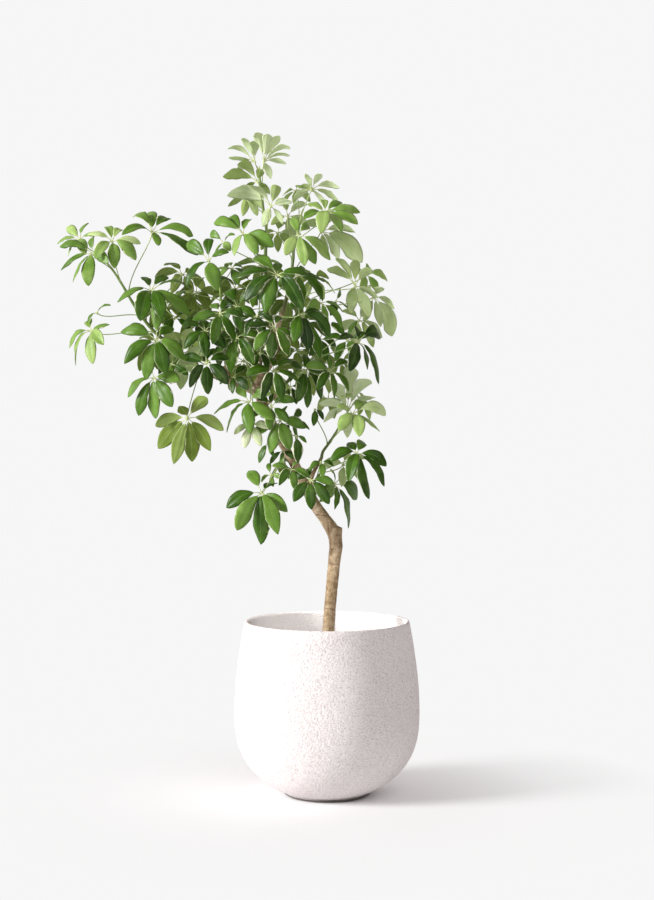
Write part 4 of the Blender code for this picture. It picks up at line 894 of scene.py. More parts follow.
def place_leaf(name, order, leaf, route, share, crown):
    """Hub, normal, leaflets and stalk of a leaf, moved and turned until it is clear, or None."""
    leaf = Leaf(*leaf)
    place = share * (len(route) - 1)
    index = min(int(place), len(route) - 2)
    start = route[index].lerp(route[index + 1], place - index)
    heading = (route[index + 1] - route[index]).normalized()
    tries = [(own_too, shift, move) for own_too in (True, False) for shift in SHIFTS for move in TURNS]
    for own_too, shift, (twist, lean) in tries:
        depth = leaf.depth + shift
        hub = seen(leaf.x, leaf.z, depth)
        rng = random.Random(f"{SEED} {name} {order}")
        corners, faces, leaflets = leaf_sheet(hub, depth, leaf, twist, lean, rng)
        mesh = bpy.data.meshes.new(name + "_blade")
        mesh.from_pydata(corners, [], faces)
        thin, fat = shells(mesh)
        bpy.data.meshes.remove(mesh)
        normal = leaf_frame(leaf.pan, leaf.tilt + lean)[0]
        stalk = petiole_route(start, heading, hub, normal, PETIOLE_SPANS)
        radii = [PETIOLE_RADIUS] * len(stalk)
        if crown.is_clear(name, beads(stalk, radii), hub, leaf.reach * CM, thin, fat, own_too):
            crown.add_blade(name, hub, thin, fat)
            crown.add_rod(name, stalk, radii)
            return hub, normal, leaflets, petiole_route(start, heading, hub, normal, STALK_STEPS)
    return None


def stem_route(name, spec):
    """Route and radii of a leafy stem, which starts in line with its woody branch."""
    wood, wood_radii = rod(WOOD[name])
    heading = (wood[-1] - wood[-2]).normalized()
    start = wood[-1] + heading * GAP
    route = [start, start + heading * STEM_LEAD] + [seen(*knot) for knot in spec["route"]]
    first = wood_radii[-1]
    final = spec["tip"] * CM
    shares = [index / (len(route) - 1) for index in range(len(route))]
    return route, [first + (final - first) * share for share in shares]


# Material slots of a leafy stem
UPPER, UNDER, STALK, STEM = range(4)


class Shape:
    """Corners, faces and what the materials read, gathered for one mesh.

    blade holds each corner's (share along, share across, seed) on its leaflet, or (share along, share
    round, 0) on a tube, and look holds its leaf's (paleness, cream, seed).
    """

    def __init__(self):
        self.corners = []
        self.faces = []
        self.slots = []
        self.blade = []
        self.look = []
        self.count = 0

    def add(self, corners, faces, slots, blade, look):
        corners = np.asarray(corners, float)
        self.corners.append(corners)
        self.faces += [tuple(index + self.count for index in face) for face in faces]
        self.slots += slots
        self.blade.append(np.asarray(blade, float))
        self.look.append(np.tile(np.asarray(look, float), (len(corners), 1)))
        self.count += len(corners)

    def make(self, name, materials):
        mesh = bpy.data.meshes.new(name)
        mesh.from_pydata(np.concatenate(self.corners).tolist(), [], self.faces)
        write_attribute(mesh, "blade", np.concatenate(self.blade))
        write_attribute(mesh, "look", np.concatenate(self.look))
        for material in materials:
            mesh.materials.append(material)
        mesh.polygons.foreach_set("material_index", self.slots)
        mesh.shade_smooth()
        mesh.update()
        return add_object(name, mesh)


def add_object(name, data):
    obj = bpy.data.objects.new(name, data)
    bpy.context.scene.collection.objects.link(obj)
    return obj


def write_attribute(mesh, name, values):
    """Three numbers for each corner of a mesh, for its materials to read."""
    data = mesh.attributes.new(name, "FLOAT_VECTOR", "POINT").data
    data.foreach_set("vector", np.asarray(values, np.float32).ravel())


def relief(place, layers):
    """Height of layers of noise at a place."""
    return sum(noise.noise(Vector(a * b for a, b in zip(place, frequency))) * height
               for frequency, height in layers)


def bell(distance, width):
    """1 at no distance, falling off smoothly on both sides."""
    return np.exp(-(distance / width) ** 2)


def unit(rows):
    return rows / np.linalg.norm(rows, axis=1)[:, None]


def smooth_path(points, radii, step):
    """Points and radii closely spaced on a smooth curve through the given ones."""
    points = [np.array(point, float) for point in points]
    ends = [2 * points[0] - points[1], *points, 2 * points[-1] - points[-2]]
    out = []
    sizes = []
    for index in range(len(points) - 1):
        a, b, c, d = ends[index:index + 4]
        spans = max(2, int(np.linalg.norm(c - b) / step))
        for part in range(spans):
            t = part / spans
            out.append(0.5 * (2 * b + (c - a) * t + (2 * a - 5 * b + 4 * c - d) * t * t
                              + (3 * b - a - 3 * c + d) * t ** 3))
            sizes.append(radii[index] + (radii[index + 1] - radii[index]) * t)
    out.append(points[-1])
    sizes.append(radii[-1])
    return np.array(out), np.array(sizes)


def ring_faces(count, sides):
    """Faces that join rings of corners one after another, and close both ends to a corner each."""
    faces = []
    for row in range(count - 1):
        for side in range(sides):
            following = (side + 1) % sides
            faces.append((row * sides + side, row * sides + following,
                          (row + 1) * sides + following, (row + 1) * sides + side))
    ends = count * sides
    last = ends - sides
    for side in range(sides):
        following = (side + 1) % sides
        faces.append((ends, following, side))
        faces.append((ends + 1, last + side, last + following))
    return faces


def add_tube(shape, points, radii, sides, slot, look, start=0.0):
    """A closed tube with slightly domed ends. It looks like one from the share start to the end."""
    points = np.asarray(points, float)
    tangents = unit(np.gradient(points, axis=0))
    normal = np.cross(tangents[0], RING_DIRECTION)
    angles = np.arange(sides) * math.tau / sides
    corners = []
    blade = []
    for index, (point, tangent, radius) in enumerate(zip(points, tangents, radii)):
        normal = normal - tangent * normal.dot(tangent)
        normal /= np.linalg.norm(normal)
        other = np.cross(tangent, normal)
        ring = point + radius * (np.cos(angles)[:, None] * normal + np.sin(angles)[:, None] * other)
        corners.append(ring)
        along = start + (1.0 - start) * index / (len(points) - 1)
        blade += [(along, angle / math.tau, 0.0) for angle in angles]
    corners.append(points[:1] - tangents[:1] * radii[0] * END_DOME)
    corners.append(points[-1:] + tangents[-1:] * radii[-1] * END_DOME)
    blade += [(start, 0.0, 0.0), (1.0, 0.0, 0.0)]
    faces = ring_faces(len(points), sides)
    shape.add(np.concatenate(corners), faces, [slot] * len(faces), blade, look)


def blade_faces():
    """Faces and material slots of one closed blade, whose upper and lower sides share their rim."""
    upper = {}
    lower = {}
    count = 1
    for row in range(1, BLADE_ROWS - 1):
        for column in range(BLADE_COLUMNS + 1):
            upper[row, column] = count
            count += 1
        for column in range(1, BLADE_COLUMNS):
            lower[row, column] = count
            count += 1
        lower[row, 0] = upper[row, 0]
        lower[row, BLADE_COLUMNS] = upper[row, BLADE_COLUMNS]
    faces = []
    slots = []
    for grid, slot in ((upper, UPPER), (lower, UNDER)):
        made = []
        for row in range(1, BLADE_ROWS - 2):
            for column in range(BLADE_COLUMNS):
                made.append((grid[row, column], grid[row, column + 1],
                             grid[row + 1, column + 1], grid[row + 1, column]))
        for column in range(BLADE_COLUMNS):
            made.append((0, grid[1, column + 1], grid[1, column]))
            made.append((grid[BLADE_ROWS - 2, column], grid[BLADE_ROWS - 2, column + 1], count))
        faces += [face if slot == UPPER else face[::-1] for face in made]
        slots += [slot] * len(made)
    return faces, slots


def leaflet_axis(hub, vector, arch, shares):
    """Points on the arched axis of a leaflet, at shares of the way from the hub to its end."""
    return hub + vector * shares[:, None] + arch * (shares * (1 - shares))[:, None]


def blade_sides(length, along, shares, rooms, rng):
    """Widths of a blade on the two sides of its axis, within the room beside its neighbours."""
    base = OUTLINE_BASE * rng.uniform(*OUTLINE_BASE_RANGE)
    tip = OUTLINE_TIP * rng.uniform(*OUTLINE_TIP_RANGE)
    peak = base / (base + tip)
    widest = peak ** base * (1 - peak) ** tip
    outline = shares ** base * (1 - shares) ** tip / widest
    width = HALF_WIDTH * length * rng.uniform(*HALF_WIDTH_RANGE) * outline
    return [np.minimum(width, room * ROOM_USED * along * length) for room in rooms]


def add_leaflet(shape, hub, leaflet, look, rng, faces):
    """One thin closed leaflet on its own short stalk, on the axis that the plain leaflet has."""
    vector, across, arch, rooms = leaflet
    length = vector.length
    start = rng.uniform(*BLADE_START)
    even = np.linspace(0, 1, BLADE_ROWS)
    shares = END_CROWDING * (1 - np.cos(math.pi * even)) / 2 + (1 - END_CROWDING) * even
    along = start + (1 - start) * shares
    hub, vector, arch, across = (np.array(item, float) for item in (hub, vector, arch, across))
    arch *= rng.uniform(*ARCH_MORE)
    axis = leaflet_axis(hub, vector, arch, along)
    tangent = unit(vector + arch * (1 - 2 * along)[:, None])
    up = unit(np.cross(across, tangent))
    roll = math.radians(rng.uniform(-LEAN, LEAN)) * np.minimum(1.0, shares * LEAN_SETS_IN)
    roll += math.radians(rng.uniform(-ROLL, ROLL)) * shares
    sideways = across * np.cos(roll)[:, None] + up * np.sin(roll)[:, None]
    up = np.cross(sideways, tangent)

    left, right = blade_sides(length, along, shares, rooms, rng)
    fold = rng.uniform(*FOLD) * rng.random()
    dome = rng.uniform(*DOME)
    phase = rng.uniform(0, math.tau)
    waves = rng.uniform(*WAVES)
    seed = rng.random()
    side = np.linspace(-1, 1, BLADE_COLUMNS + 1)
    still = fold * np.abs(side) - dome * side * side - GROOVE * bell(side, GROOVE_WIDTH)
    thick = LEAFLET_THICKNESS / 2 * np.sqrt(np.maximum(0.0, 1 - side * side))
    corners = [axis[0]]
    blade = [(0.0, 0.0, seed)]
    for row in range(1, BLADE_ROWS - 1):
        share = shares[row]
        middle = axis[row] + sideways[row] * (side * np.where(side < 0, left[row], right[row]))[:, None]
        ripple = np.sin(waves * math.tau * share + phase + np.sign(side) * WAVES_OUT_OF_STEP)
        height = (left[row] + right[row]) / 2 * (still + WAVE * ripple * side ** 2)
        rib = RIB * bell(side, RIB_WIDTH) * (1 - share)
        corners += list(middle + up[row] * (height + thick)[:, None])
        corners += list((middle + up[row] * (height - thick - rib)[:, None])[1:-1])
        blade += [(share, place, seed) for place in (*side, *side[1:-1])]
    corners.append(axis[-1])
    blade.append((1.0, 0.0, seed))
    shape.add(corners, *faces, blade, look)

    path = leaflet_axis(hub, vector, arch, np.linspace(0, start + UNDER_BLADE, LEAFLET_STALK_STEPS))
    radii = np.linspace(*LEAFLET_STALK, LEAFLET_STALK_STEPS)
    add_tube(shape, path - up[0] * UNDER_BLADE_SINK, radii, LEAFLET_STALK_SIDES, STALK, look, HUB_END)


def add_leaf(shape, placed, look, rng, faces):
    """A fine leaf: its stalk, wider at both ends, the rounded knob at the hub and its leaflets."""
    hub, normal, leaflets, route = placed
    share = np.linspace(0, 1, len(route))
    radii = np.full(len(route), STALK_MIDDLE)
    for distance, (radius, width) in ((share, STALK_BASE), (1 - share, STALK_TOP)):
        radii += (radius - STALK_MIDDLE) * bell(distance, width)
    add_tube(shape, [tuple(point) for point in route], radii, STALK_SIDES, STALK, look)
    heights, radii = np.array(KNOB_PROFILE).T * KNOB
    knob = np.array(hub, float) + np.array(normal, float) * heights[:, None]
    add_tube(shape, knob, radii, KNOB_SIDES, STALK, look, HUB_END)
    for leaflet in leaflets:
        add_leaflet(shape, hub, leaflet, look, rng, faces)


def add_green_stem(shape, route, radii, shares, rng):
    """The green shoot, slightly swollen where a stalk grows, with narrow sheaths at its growing tip."""
    points, sizes = smooth_path(route, radii, STEM_STEP)
    along = np.linspace(0, 1, len(points))
    for share in shares:
        sizes = sizes * (1 + NODE_SWELL * bell(along - share, NODE_WIDTH))
    add_tube(shape, points, sizes, STEM_SIDES, STEM, (STEM_PALENESS, 0.0, rng.random()))
    heading = points[-1] - points[-3]
    heading /= np.linalg.norm(heading)
    steps = np.linspace(0, 1, SHEATH_STEPS)
    radii = SHEATH_RADIUS * np.sqrt(SHEATH_ENDS - steps)
    for index in range(SHEATHS):
        angle = index * SHEATH_TURN + rng.random()
        spread = np.array((math.cos(angle), math.sin(angle), 0.0)) * SHEATH_SPREAD
        length = rng.uniform(*SHEATH_LENGTH)
        path = points[-1] + (heading + spread * steps[:, None]) * (length * steps)[:, None]
        add_tube(shape, path, radii, SHEATH_SIDES, STALK, (*SHEATH_LOOK, rng.random()), SHEATH_START)


def bare_crown(routes):
    """The crown with its wood and green stems, before any leaf."""
    crown = Crown()
    for knots in [TRUNK, STUB, *WOOD.values()]:
        crown.add_rod("trunk", *rod(knots))
    for name, (route, radii) in routes.items():
        crown.add_rod(name, route, radii)
    return crown


def place_leaves(routes):
    """Every leaf of every stem: those of the solids first, then the smaller ones where they are clear."""
    crown = bare_crown(routes)
    placed = {name: [] for name in STEMS}
    first, last = LEAF_SPAN
    for name, spec in STEMS.items():
        count = len(spec["leaves"])
        for order, leaf in enumerate(spec["leaves"]):
            share = first + (last - first) * (order + 1) / count
            found = place_leaf(name, order, leaf, routes[name][0], share, crown)
            placed[name].append((share, found, LOOKS[name][order]))
    for name, rows in SMALL_LEAVES.items():
        for order, (share, leaf, *look) in enumerate(rows):
            found = place_leaf(name, SMALL_ORDER + order, leaf, routes[name][0], share, crown)
            if found:
                placed[name].append((share, found, look))
    return placed


def make_leafy_stems(materials):
    """The green stems with all their leaves, one piece each."""
    routes = {name: stem_route(name, spec) for name, spec in STEMS.items()}
    placed = place_leaves(routes)
    faces = blade_faces()
    for name, (route, radii) in routes.items():
        rng = random.Random(f"{SEED} fine {name}")
        shape = Shape()
        add_green_stem(shape, route, radii, [share for share, _, _ in placed[name]], rng)
        for _, found, look in placed[name]:
            add_leaf(shape, found, (*look, rng.random()), rng, faces)
        obj = shape.make("leaves_" + name, materials)
        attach(obj, "root")
        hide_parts("stem_" + name)


def wood_lines():
    """Smooth centre lines of the trunk, the stub and every branch, with their radii."""
    lines = {}
    for name, knots in [("trunk", TRUNK), ("stub", STUB), *WOOD.items()]:
        lines[name] = smooth_path(*rod(knots), WOOD_STEP)
    return lines


def fused_wood(lines):
    """One closed mesh of the tubes round all centre lines, fused on a fine grid and softened."""
    shape = Shape()
    for points, radii in lines.values():
        add_tube(shape, points, radii, WOOD_SIDES, 0, (0.0, 0.0, 0.0))
    rough = shape.make("wood_tubes", [])
    fuse = rough.modifiers.new("fuse", "REMESH")
    fuse.mode = "VOXEL"
    fuse.voxel_size = WOOD_GRID
    soften = rough.modifiers.new("soften", "SMOOTH")
    soften.factor, soften.iterations = WOOD_SOFTENING
    graph = bpy.context.evaluated_depsgraph_get()
    mesh = bpy.data.meshes.new_from_object(rough.evaluated_get(graph))
    bpy.data.objects.remove(rough, do_unlink=True)
    return mesh


def wood_marks(lines):
    """Search tree of the centre lines' points, and each as (line, run along it, heading, point)."""
    marks = []
    for name, (points, _) in lines.items():
        run = 0.0
        for index, point in enumerate(points):
            before = points[max(0, index - 1)]
            after = points[min(len(points) - 1, index + 1)]
            run += float(np.linalg.norm(point - before))
            marks.append((name, run, Vector(after - before).normalized(), Vector(point)))
    tree = KDTree(len(marks))
    for index, mark in enumerate(marks):
        tree.insert(mark[3], index)
    tree.balance()
    return tree, marks


def scar_strength(name, place, run):
    """How deep in a ring scar a place on the wood lies, from 0 to 1."""
    frequency, size = SCAR_WOBBLE
    wobble = noise.noise(place * frequency) * size
    low_on_trunk = name == "trunk" and place.z < CLEAR_SCARS_BELOW
    spacing, strength = FOOT_SCARS if low_on_trunk else OTHER_SCARS
    scar = strength * bell((run + wobble) % spacing - spacing / 2, SCAR_WIDTH)
    if low_on_trunk:
        shift = wobble * CLEAR_SCAR_WOBBLE + place.x * SCAR_SLOPE
        scar = max(scar, *(bell(place.z + shift - height, SCAR_WIDTH) for height in SCAR_HEIGHTS))
    return scar


def make_wood(material):
    """Trunk and branches in one piece, with ring scars, lumps and fissures."""
    lines = wood_lines()
    tree, marks = wood_marks(lines)
    mesh = fused_wood(lines)
    mesh.update()
    normals = [vertex.normal.copy() for vertex in mesh.vertices]
    rings = []
    for vertex, normal in zip(mesh.vertices, normals):
        place = vertex.co
        name, run, heading, point = marks[tree.find(place)[1]]
        run += (place - point).dot(heading)
        ring = scar_strength(name, place, run)
        vertex.co = place + normal * (relief(place, WOOD_RELIEF) - ring * SCAR_DEPTH)
        rings.append((ring, run, noise.noise(place * BLOTCHES)))
    write_attribute(mesh, "wood", rings)
    mesh.materials.clear()
    mesh.materials.append(material)
    mesh.shade_smooth()
    trunk = add_object("trunk_bark", mesh)
    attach(trunk, "root")
    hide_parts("trunk")


def wall_radius(z, inset):
    """Radius of the pot's wall at height z, or of a surface inset from it."""
    radius = BELLY_RADIUS - inset
    if z < BELLY_HEIGHT:
        share = (BELLY_HEIGHT - z) / (LOWER_DEPTH - inset)
        return radius * math.sqrt(max(0.0, 1.0 - share ** LOWER_POWER))
    share = (z - BELLY_HEIGHT) / (POT_HEIGHT - BELLY_HEIGHT)
    return radius - RIM_DRAW_IN * share ** RIM_POWER


def wall_line(start, end, inset):
    """Points of (radius, height) on the wall, or inset from it, from one height to another."""
    rows = int(abs(end - start) / POT_STEP)
    heights = [start + (end - start) * row / rows for row in range(rows + 1)]
    return [(wall_radius(z, inset), z) for z in heights]


def pot_profile():
    """The pot's outline from the middle of its floor, up inside, over the lip and down to the foot."""
    lip = WALL / 2
    top = POT_HEIGHT - lip
    middle = wall_radius(top, 0.0) - lip
    profile = [(radius, FLOOR) for radius in FLOOR_RINGS]
    profile += wall_line(FLOOR, top, WALL)
    for step in range(1, LIP_STEPS):
        angle = math.pi * (1.0 - step / LIP_STEPS)
        profile.append((middle + lip * math.cos(angle), top + lip * math.sin(angle)))
    profile += wall_line(top, FOOT_TOP, 0.0)
    profile += FOOT_RECESS
    return profile


def turned_mesh(name, profile, segments):
    """A closed turned mesh. The profile's two ends are closed by a point on the axis."""
    angles = np.arange(segments) * math.tau / segments
    corners = []
    for radius, z in profile:
        corners += [(radius * math.cos(angle), radius * math.sin(angle), z) for angle in angles]
    corners += [(0.0, 0.0, profile[0][1]), (0.0, 0.0, profile[-1][1])]
    faces = [(face[0], *face[:0:-1]) for face in ring_faces(len(profile), segments)]
    mesh = bpy.data.meshes.new(name)
    mesh.from_pydata(corners, [], faces)
    mesh.update()
    return mesh


def make_pot(material):
    """The pot with the slight unevenness of a hand-finished wall, but a true foot and rim height."""
    mesh = turned_mesh("pot_stoneware", pot_profile(), POT_SEGMENTS)
    inside = []
    for vertex in mesh.vertices:
        place = vertex.co
        radius = math.hypot(place.x, place.y)
        middle_of_wall = wall_radius(min(place.z, POT_HEIGHT - WALL / 2), WALL / 2)
        inside.append((float(place.z > FLOOR / 2 and radius < middle_of_wall), 0.0, 0.0))
        if radius > TRUE_AXIS and TRUE_FOOT < place.z < POT_HEIGHT - TRUE_RIM:
            fade = min(1.0, (place.z - TRUE_FOOT) / POT_RELIEF_FADE)
            shift = relief(place, POT_RELIEF) * fade / radius
            place.x *= 1 + shift
            place.y *= 1 + shift
    write_attribute(mesh, "inside", inside)
    mesh.materials.append(material)
    mesh.shade_smooth()
    pot = add_object("pot_stoneware", mesh)
    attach(pot, "root")
    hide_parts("pot")


def soil_height(x, y, edge):
    """Height of the soil: a low mound with clods, lower against the wall."""
    share = math.hypot(x, y) / edge
    mound = SOIL_MOUND * (1 - share ** 2) - SOIL_SINK
    return SOIL_TOP + mound + relief(Vector((x, y, 0.0)), SOIL_RELIEF)


def add_crumbs(work, edge, rng):
    """Loose crumbs and perlite grains, half sunk in the soil's top."""
    for _ in range(CRUMBS):
        radius = edge * CRUMB_REACH * math.sqrt(rng.random())
        angle = rng.uniform(0, math.tau)
        x = radius * math.cos(angle)
        y = radius * math.sin(angle)
        size = rng.uniform(*CRUMB_SIZE)
        slot = int(rng.random() < PERLITE_SHARE)
        place = Vector((x, y, soil_height(x, y, edge) + size * CRUMB_RISE))
        crumb = bmesh.ops.create_icosphere(work, subdivisions=1, radius=size)["verts"]
        stretch = [rng.uniform(*limits) for limits in CRUMB_STRETCH]
        for corner in crumb:
            lump = 1 + CRUMB_LUMPS * noise.noise(corner.co * CRUMB_LUMPINESS + place * CRUMB_VARIETY)
            corner.co = Vector(a * b * lump for a, b in zip(corner.co, stretch)) + place
            for face in corner.link_faces:
                face.material_index = slot


def make_soil(materials):
    """Potting mix as one closed body, with crumbs on its top."""
    edge = wall_radius(SOIL_TOP, WALL + GAP) - GAP
    profile = [(edge * (index + 1) / SOIL_RINGS, SOIL_TOP) for index in range(SOIL_RINGS)]
    heights = np.linspace(SOIL_TOP, FLOOR + GAP, SOIL_SIDE_RINGS + 1)[1:]
    profile += [(wall_radius(z, WALL + GAP) - GAP, z) for z in heights]
    mesh = turned_mesh("soil_mix", profile, SOIL_SEGMENTS)
    mesh.flip_normals()
    for vertex in mesh.vertices:
        x, y, z = vertex.co
        if z > SOIL_TOP - WELD:
            vertex.co.z = soil_height(x, y, edge)
    work = bmesh.new()
    work.from_mesh(mesh)
    add_crumbs(work, edge, random.Random(SEED))
    work.to_mesh(mesh)
    work.free()
    for material in materials:
        mesh.materials.append(material)
    mesh.shade_smooth()
    soil = add_object("soil_mix", mesh)
    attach(soil, "root")
    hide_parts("soil")


class Nodes:
    """Short ways to build the nodes of a material or of the world."""

    def __init__(self, owner, kind="Material"):
        owner.use_nodes = True
        self.owner = owner
        self.tree = owner.node_tree
        self.shader = self.tree.nodes.get("Principled BSDF")
        self.surface = self.tree.nodes[kind + " Output"].inputs["Surface"]

    def add(self, kind, **settings):
        node = self.tree.nodes.new("ShaderNode" + kind)
        for name, value in settings.items():
            setattr(node, name, value)
        return node

    def put(self, value, socket):
        """Links a socket or sets a number, or a colour without its alpha."""
        if isinstance(value, bpy.types.NodeSocket):
            self.tree.links.new(value, socket)
        elif isinstance(value, tuple) and len(value) < len(socket.default_value):
            socket.default_value = (*value, 1.0)
        else:
            socket.default_value = value

    def fill(self, node, values):
        """Puts each value in the node's input of that name or number."""
        for key, value in values.items():
            self.put(value, node.inputs[key])
        return node

    def math(self, operation, *values, clamp=False):
        node = self.add("Math", operation=operation, use_clamp=clamp)
        return self.fill(node, dict(enumerate(values))).outputs[0]

    def above(self, value, limit, slope):
        """0 up to a limit, then rising to 1. A slope below 0 swaps the two sides."""
        return self.math("MULTIPLY", self.math("SUBTRACT", value, limit), slope, clamp=True)

    def swing(self, value, amount):
        """A value from 0 to 1, such as a noise, made to swing by the amount round 0."""
        return self.math("MULTIPLY_ADD", value, amount, -amount / 2)

    def mix(self, share, first, second):
        """A colour between two. The sockets 6, 7 and 2 are the ones for colours."""
        node = self.add("Mix", data_type="RGBA")
        return self.fill(node, {"Factor": share, 6: first, 7: second}).outputs[2]

    def tint(self, colour, other, share, strength):
        """A colour with a share of another, up to the strength."""
        return self.mix(self.math("MULTIPLY", share, strength), colour, other)

    def coordinates(self, kind="Object"):
        return self.add("TexCoord").outputs[kind]

    def split(self, vector):
        return self.fill(self.add("SeparateXYZ"), {0: vector}).outputs

    def noise(self, scale, detail=2.0, roughness=0.5, stretch=None):
        place = self.coordinates()
        if stretch:
            place = self.fill(self.add("Mapping"), {"Scale": stretch, "Vector": place}).outputs["Vector"]
        values = {"Vector": place, "Scale": scale, "Detail": detail, "Roughness": roughness}
        return self.fill(self.add("TexNoise"), values).outputs["Fac"]

    def ramp(self, value, stops):
        """A colour or grey read from stops of (place, colour)."""
        node = self.fill(self.add("ValToRGB"), {0: value})
        elements = node.color_ramp.elements
        while len(elements) < len(stops):
            elements.new(0.5)
        for element, (place, colour) in zip(elements, stops):
            element.position = place
            shade = colour if isinstance(colour, tuple) else (colour,) * 3
            element.color = (*shade, 1.0)
        return node.outputs["Color"]

    def attribute(self, name):
        """The three numbers of an attribute."""
        return self.split(self.add("Attribute", attribute_name=name).outputs["Vector"])

    def height(self):
        """Height above the floor, in metres."""
        return self.split(self.coordinates())["Z"]

    def bump(self, height, strength, distance):
        node = self.fill(self.add("Bump"), {"Strength": strength, "Distance": distance, "Height": height})
        self.put(node.outputs["Normal"], self.shader.inputs["Normal"])

    def show_mixed(self, share, first, second):
        """Shows a mix of two shaders."""
        values = {0: share, 1: first.outputs[0], 2: second.outputs[0]}
        self.put(self.fill(self.add("MixShader"), values).outputs[0], self.surface)

    def done(self, colour, roughness, specular=0.5):
        values = {"Base Color": colour, "Roughness": roughness, "Specular IOR Level": specular}
        self.fill(self.shader, values)
        return self.owner


def material_nodes(name):
    return Nodes(bpy.data.materials.new(name))


def leaf_material(name, greens, rib, roughness, through):
    """A leaf's upper or lower side: green by its age and painted backlight, veined, with patches of
    painted sheen, and cream at the rim where variegated.
    """
    nodes = material_nodes(name)
    along, across, seed = nodes.attribute("blade")
    paleness, cream, _ = nodes.attribute("look")
    cream = nodes.math("ADD", cream, 0.08)

    # Each leaflet is a little older or younger than its leaf, and mottled
    offset = nodes.math("MULTIPLY_ADD", seed, 0.30, -0.11)
    mottle = nodes.swing(nodes.noise(45.0, 3.0), 0.36)
    tone = nodes.math("ADD", nodes.math("ADD", paleness, offset), mottle, clamp=True)
    colour = nodes.ramp(tone, greens)

    # Side veins slant towards the tip and fade out at the rim, and the rib narrows towards the tip
    side = nodes.math("ABSOLUTE", across)
    slant = nodes.math("MULTIPLY_ADD", side, -0.42, along)
    veins = nodes.math("SINE", nodes.math("MULTIPLY", slant, 58.0))
    veins = nodes.math("POWER", nodes.math("MULTIPLY_ADD", veins, 0.5, 0.5), 7.0)
    veins = nodes.math("MULTIPLY", veins, nodes.math("SUBTRACT", 1.0, side))
    colour = nodes.tint(colour, rib, veins, 0.20)
    rib_edge = nodes.math("MULTIPLY_ADD", along, -0.030, 0.062)
    on_rib = nodes.math("SUBTRACT", 1.0, nodes.math("DIVIDE", side, rib_edge), clamp=True)
    colour = nodes.tint(colour, rib, on_rib, 0.75)

    # Cream grows in from the rim with a ragged edge, by how variegated the leaf is
    ragged = nodes.swing(nodes.noise(75.0, 2.0), 0.8)
    limit = nodes.math("ADD", nodes.math("MULTIPLY_ADD", cream, -0.34, 1.06), ragged)
    has_cream = nodes.math("MULTIPLY", cream, 6.0, clamp=True)
    colour = nodes.tint(colour, CREAM, nodes.above(side, limit, 9.0), has_cream)

    # Patches of painted sheen, a thin pale edge, and a pale base where the leaflet's stalk joins
    colour = nodes.tint(colour, PAINTED_SHEEN, nodes.above(nodes.noise(30.0, 3.0, 0.65), 0.5, 4.5), 0.16)
    colour = nodes.tint(colour, PALE_EDGE, nodes.above(side, 0.93, 16.0), 0.70)
    colour = nodes.mix(nodes.math("MULTIPLY_ADD", along, -13.0, 1.0, clamp=True), colour, LEAFLET_BASE)

    nodes.bump(nodes.math("MULTIPLY_ADD", veins, 0.6, nodes.noise(420.0, 3.0)), 0.22, 0.00025)
    other_side = nodes.fill(nodes.add("BsdfTranslucent"), {"Color": nodes.mix(0.5, colour, LIGHT_THROUGH)})
    nodes.show_mixed(through, nodes.shader, other_side)
    gloss = nodes.math("ADD", nodes.swing(nodes.noise(90.0, 2.0), 0.20), roughness)
    return nodes.done(colour, gloss, 0.24)


def stalk_material():
    """Leaf stalks: green, paler to cream towards the hub."""
    nodes = material_nodes("leaf_stalk")
    along, _, _ = nodes.attribute("blade")
    paleness, _, _ = nodes.attribute("look")
    colour = nodes.mix(paleness, OLD_STALK, YOUNG_STALK)
    colour = nodes.mix(nodes.above(along, 0.62, 2.9), colour, STALK_AT_HUB)
    colour = nodes.tint(colour, STALK_FRECKLES, nodes.above(nodes.noise(600.0), 0.60, 3.0), 0.4)
    nodes.bump(nodes.noise(800.0), 0.2, 0.0002)
    return nodes.done(colour, 0.48)


def stem_material():
    """Green shoots: brown-green and woody at the base, light green at the growing tip."""
    nodes = material_nodes("green_stem")
    along, _, _ = nodes.attribute("blade")
    age = nodes.math("ADD", along, nodes.swing(nodes.noise(70.0, 3.0), 0.5), clamp=True)
    colour = nodes.ramp(age, STEM_GREENS)
    colour = nodes.tint(colour, STEM_SPECKS, nodes.above(nodes.noise(520.0), 0.62, 6.0), 0.5)
    nodes.bump(nodes.noise(450.0, 3.0), 0.35, 0.0004)
    return nodes.done(colour, 0.50)


def bark_material():
    """Smooth beige bark, with dark ring scars, small dark lenticels and a darker foot, partly older bark
    and partly painted shade.
    """
    nodes = material_nodes("bark")
    ring, _, blotch = nodes.attribute("wood")

    # Patches, which are stronger low on the trunk, where the bark is older, and a darker foot that is
    # partly painted shade
    low = nodes.above(nodes.height(), 0.5, -6.0)
    patches = nodes.swing(nodes.noise(150.0, 3.0, 0.6, (1.0, 1.0, 0.8)), 1.0)
    tone = nodes.math("MULTIPLY_ADD", blotch, 0.35, nodes.noise(90.0, 4.0, 0.6, (1.0, 1.0, 0.22)))
    tone = nodes.math("MULTIPLY_ADD", patches, nodes.math("MULTIPLY_ADD", low, 1.1, 0.5), tone)
    colour = nodes.ramp(tone, BARK_BROWNS)
    colour = nodes.tint(colour, BARK_FOOT_AND_SHADE, low, 0.55)

    # Lenticels and scars
    specks = nodes.above(nodes.noise(430.0, 1.0, 0.5, (1.0, 1.0, 1.7)), 0.63, 12.0)
    colour = nodes.tint(colour, LENTICELS, specks, 0.75)
    colour = nodes.tint(colour, SCARS, ring, 0.85)
    rough = nodes.noise(300.0, 4.0, 0.6, (1.0, 1.0, 0.35))
    nodes.bump(nodes.math("MULTIPLY_ADD", specks, 0.4, rough), 0.45, 0.0006)
    return nodes.done(colour, 0.78, 0.35)


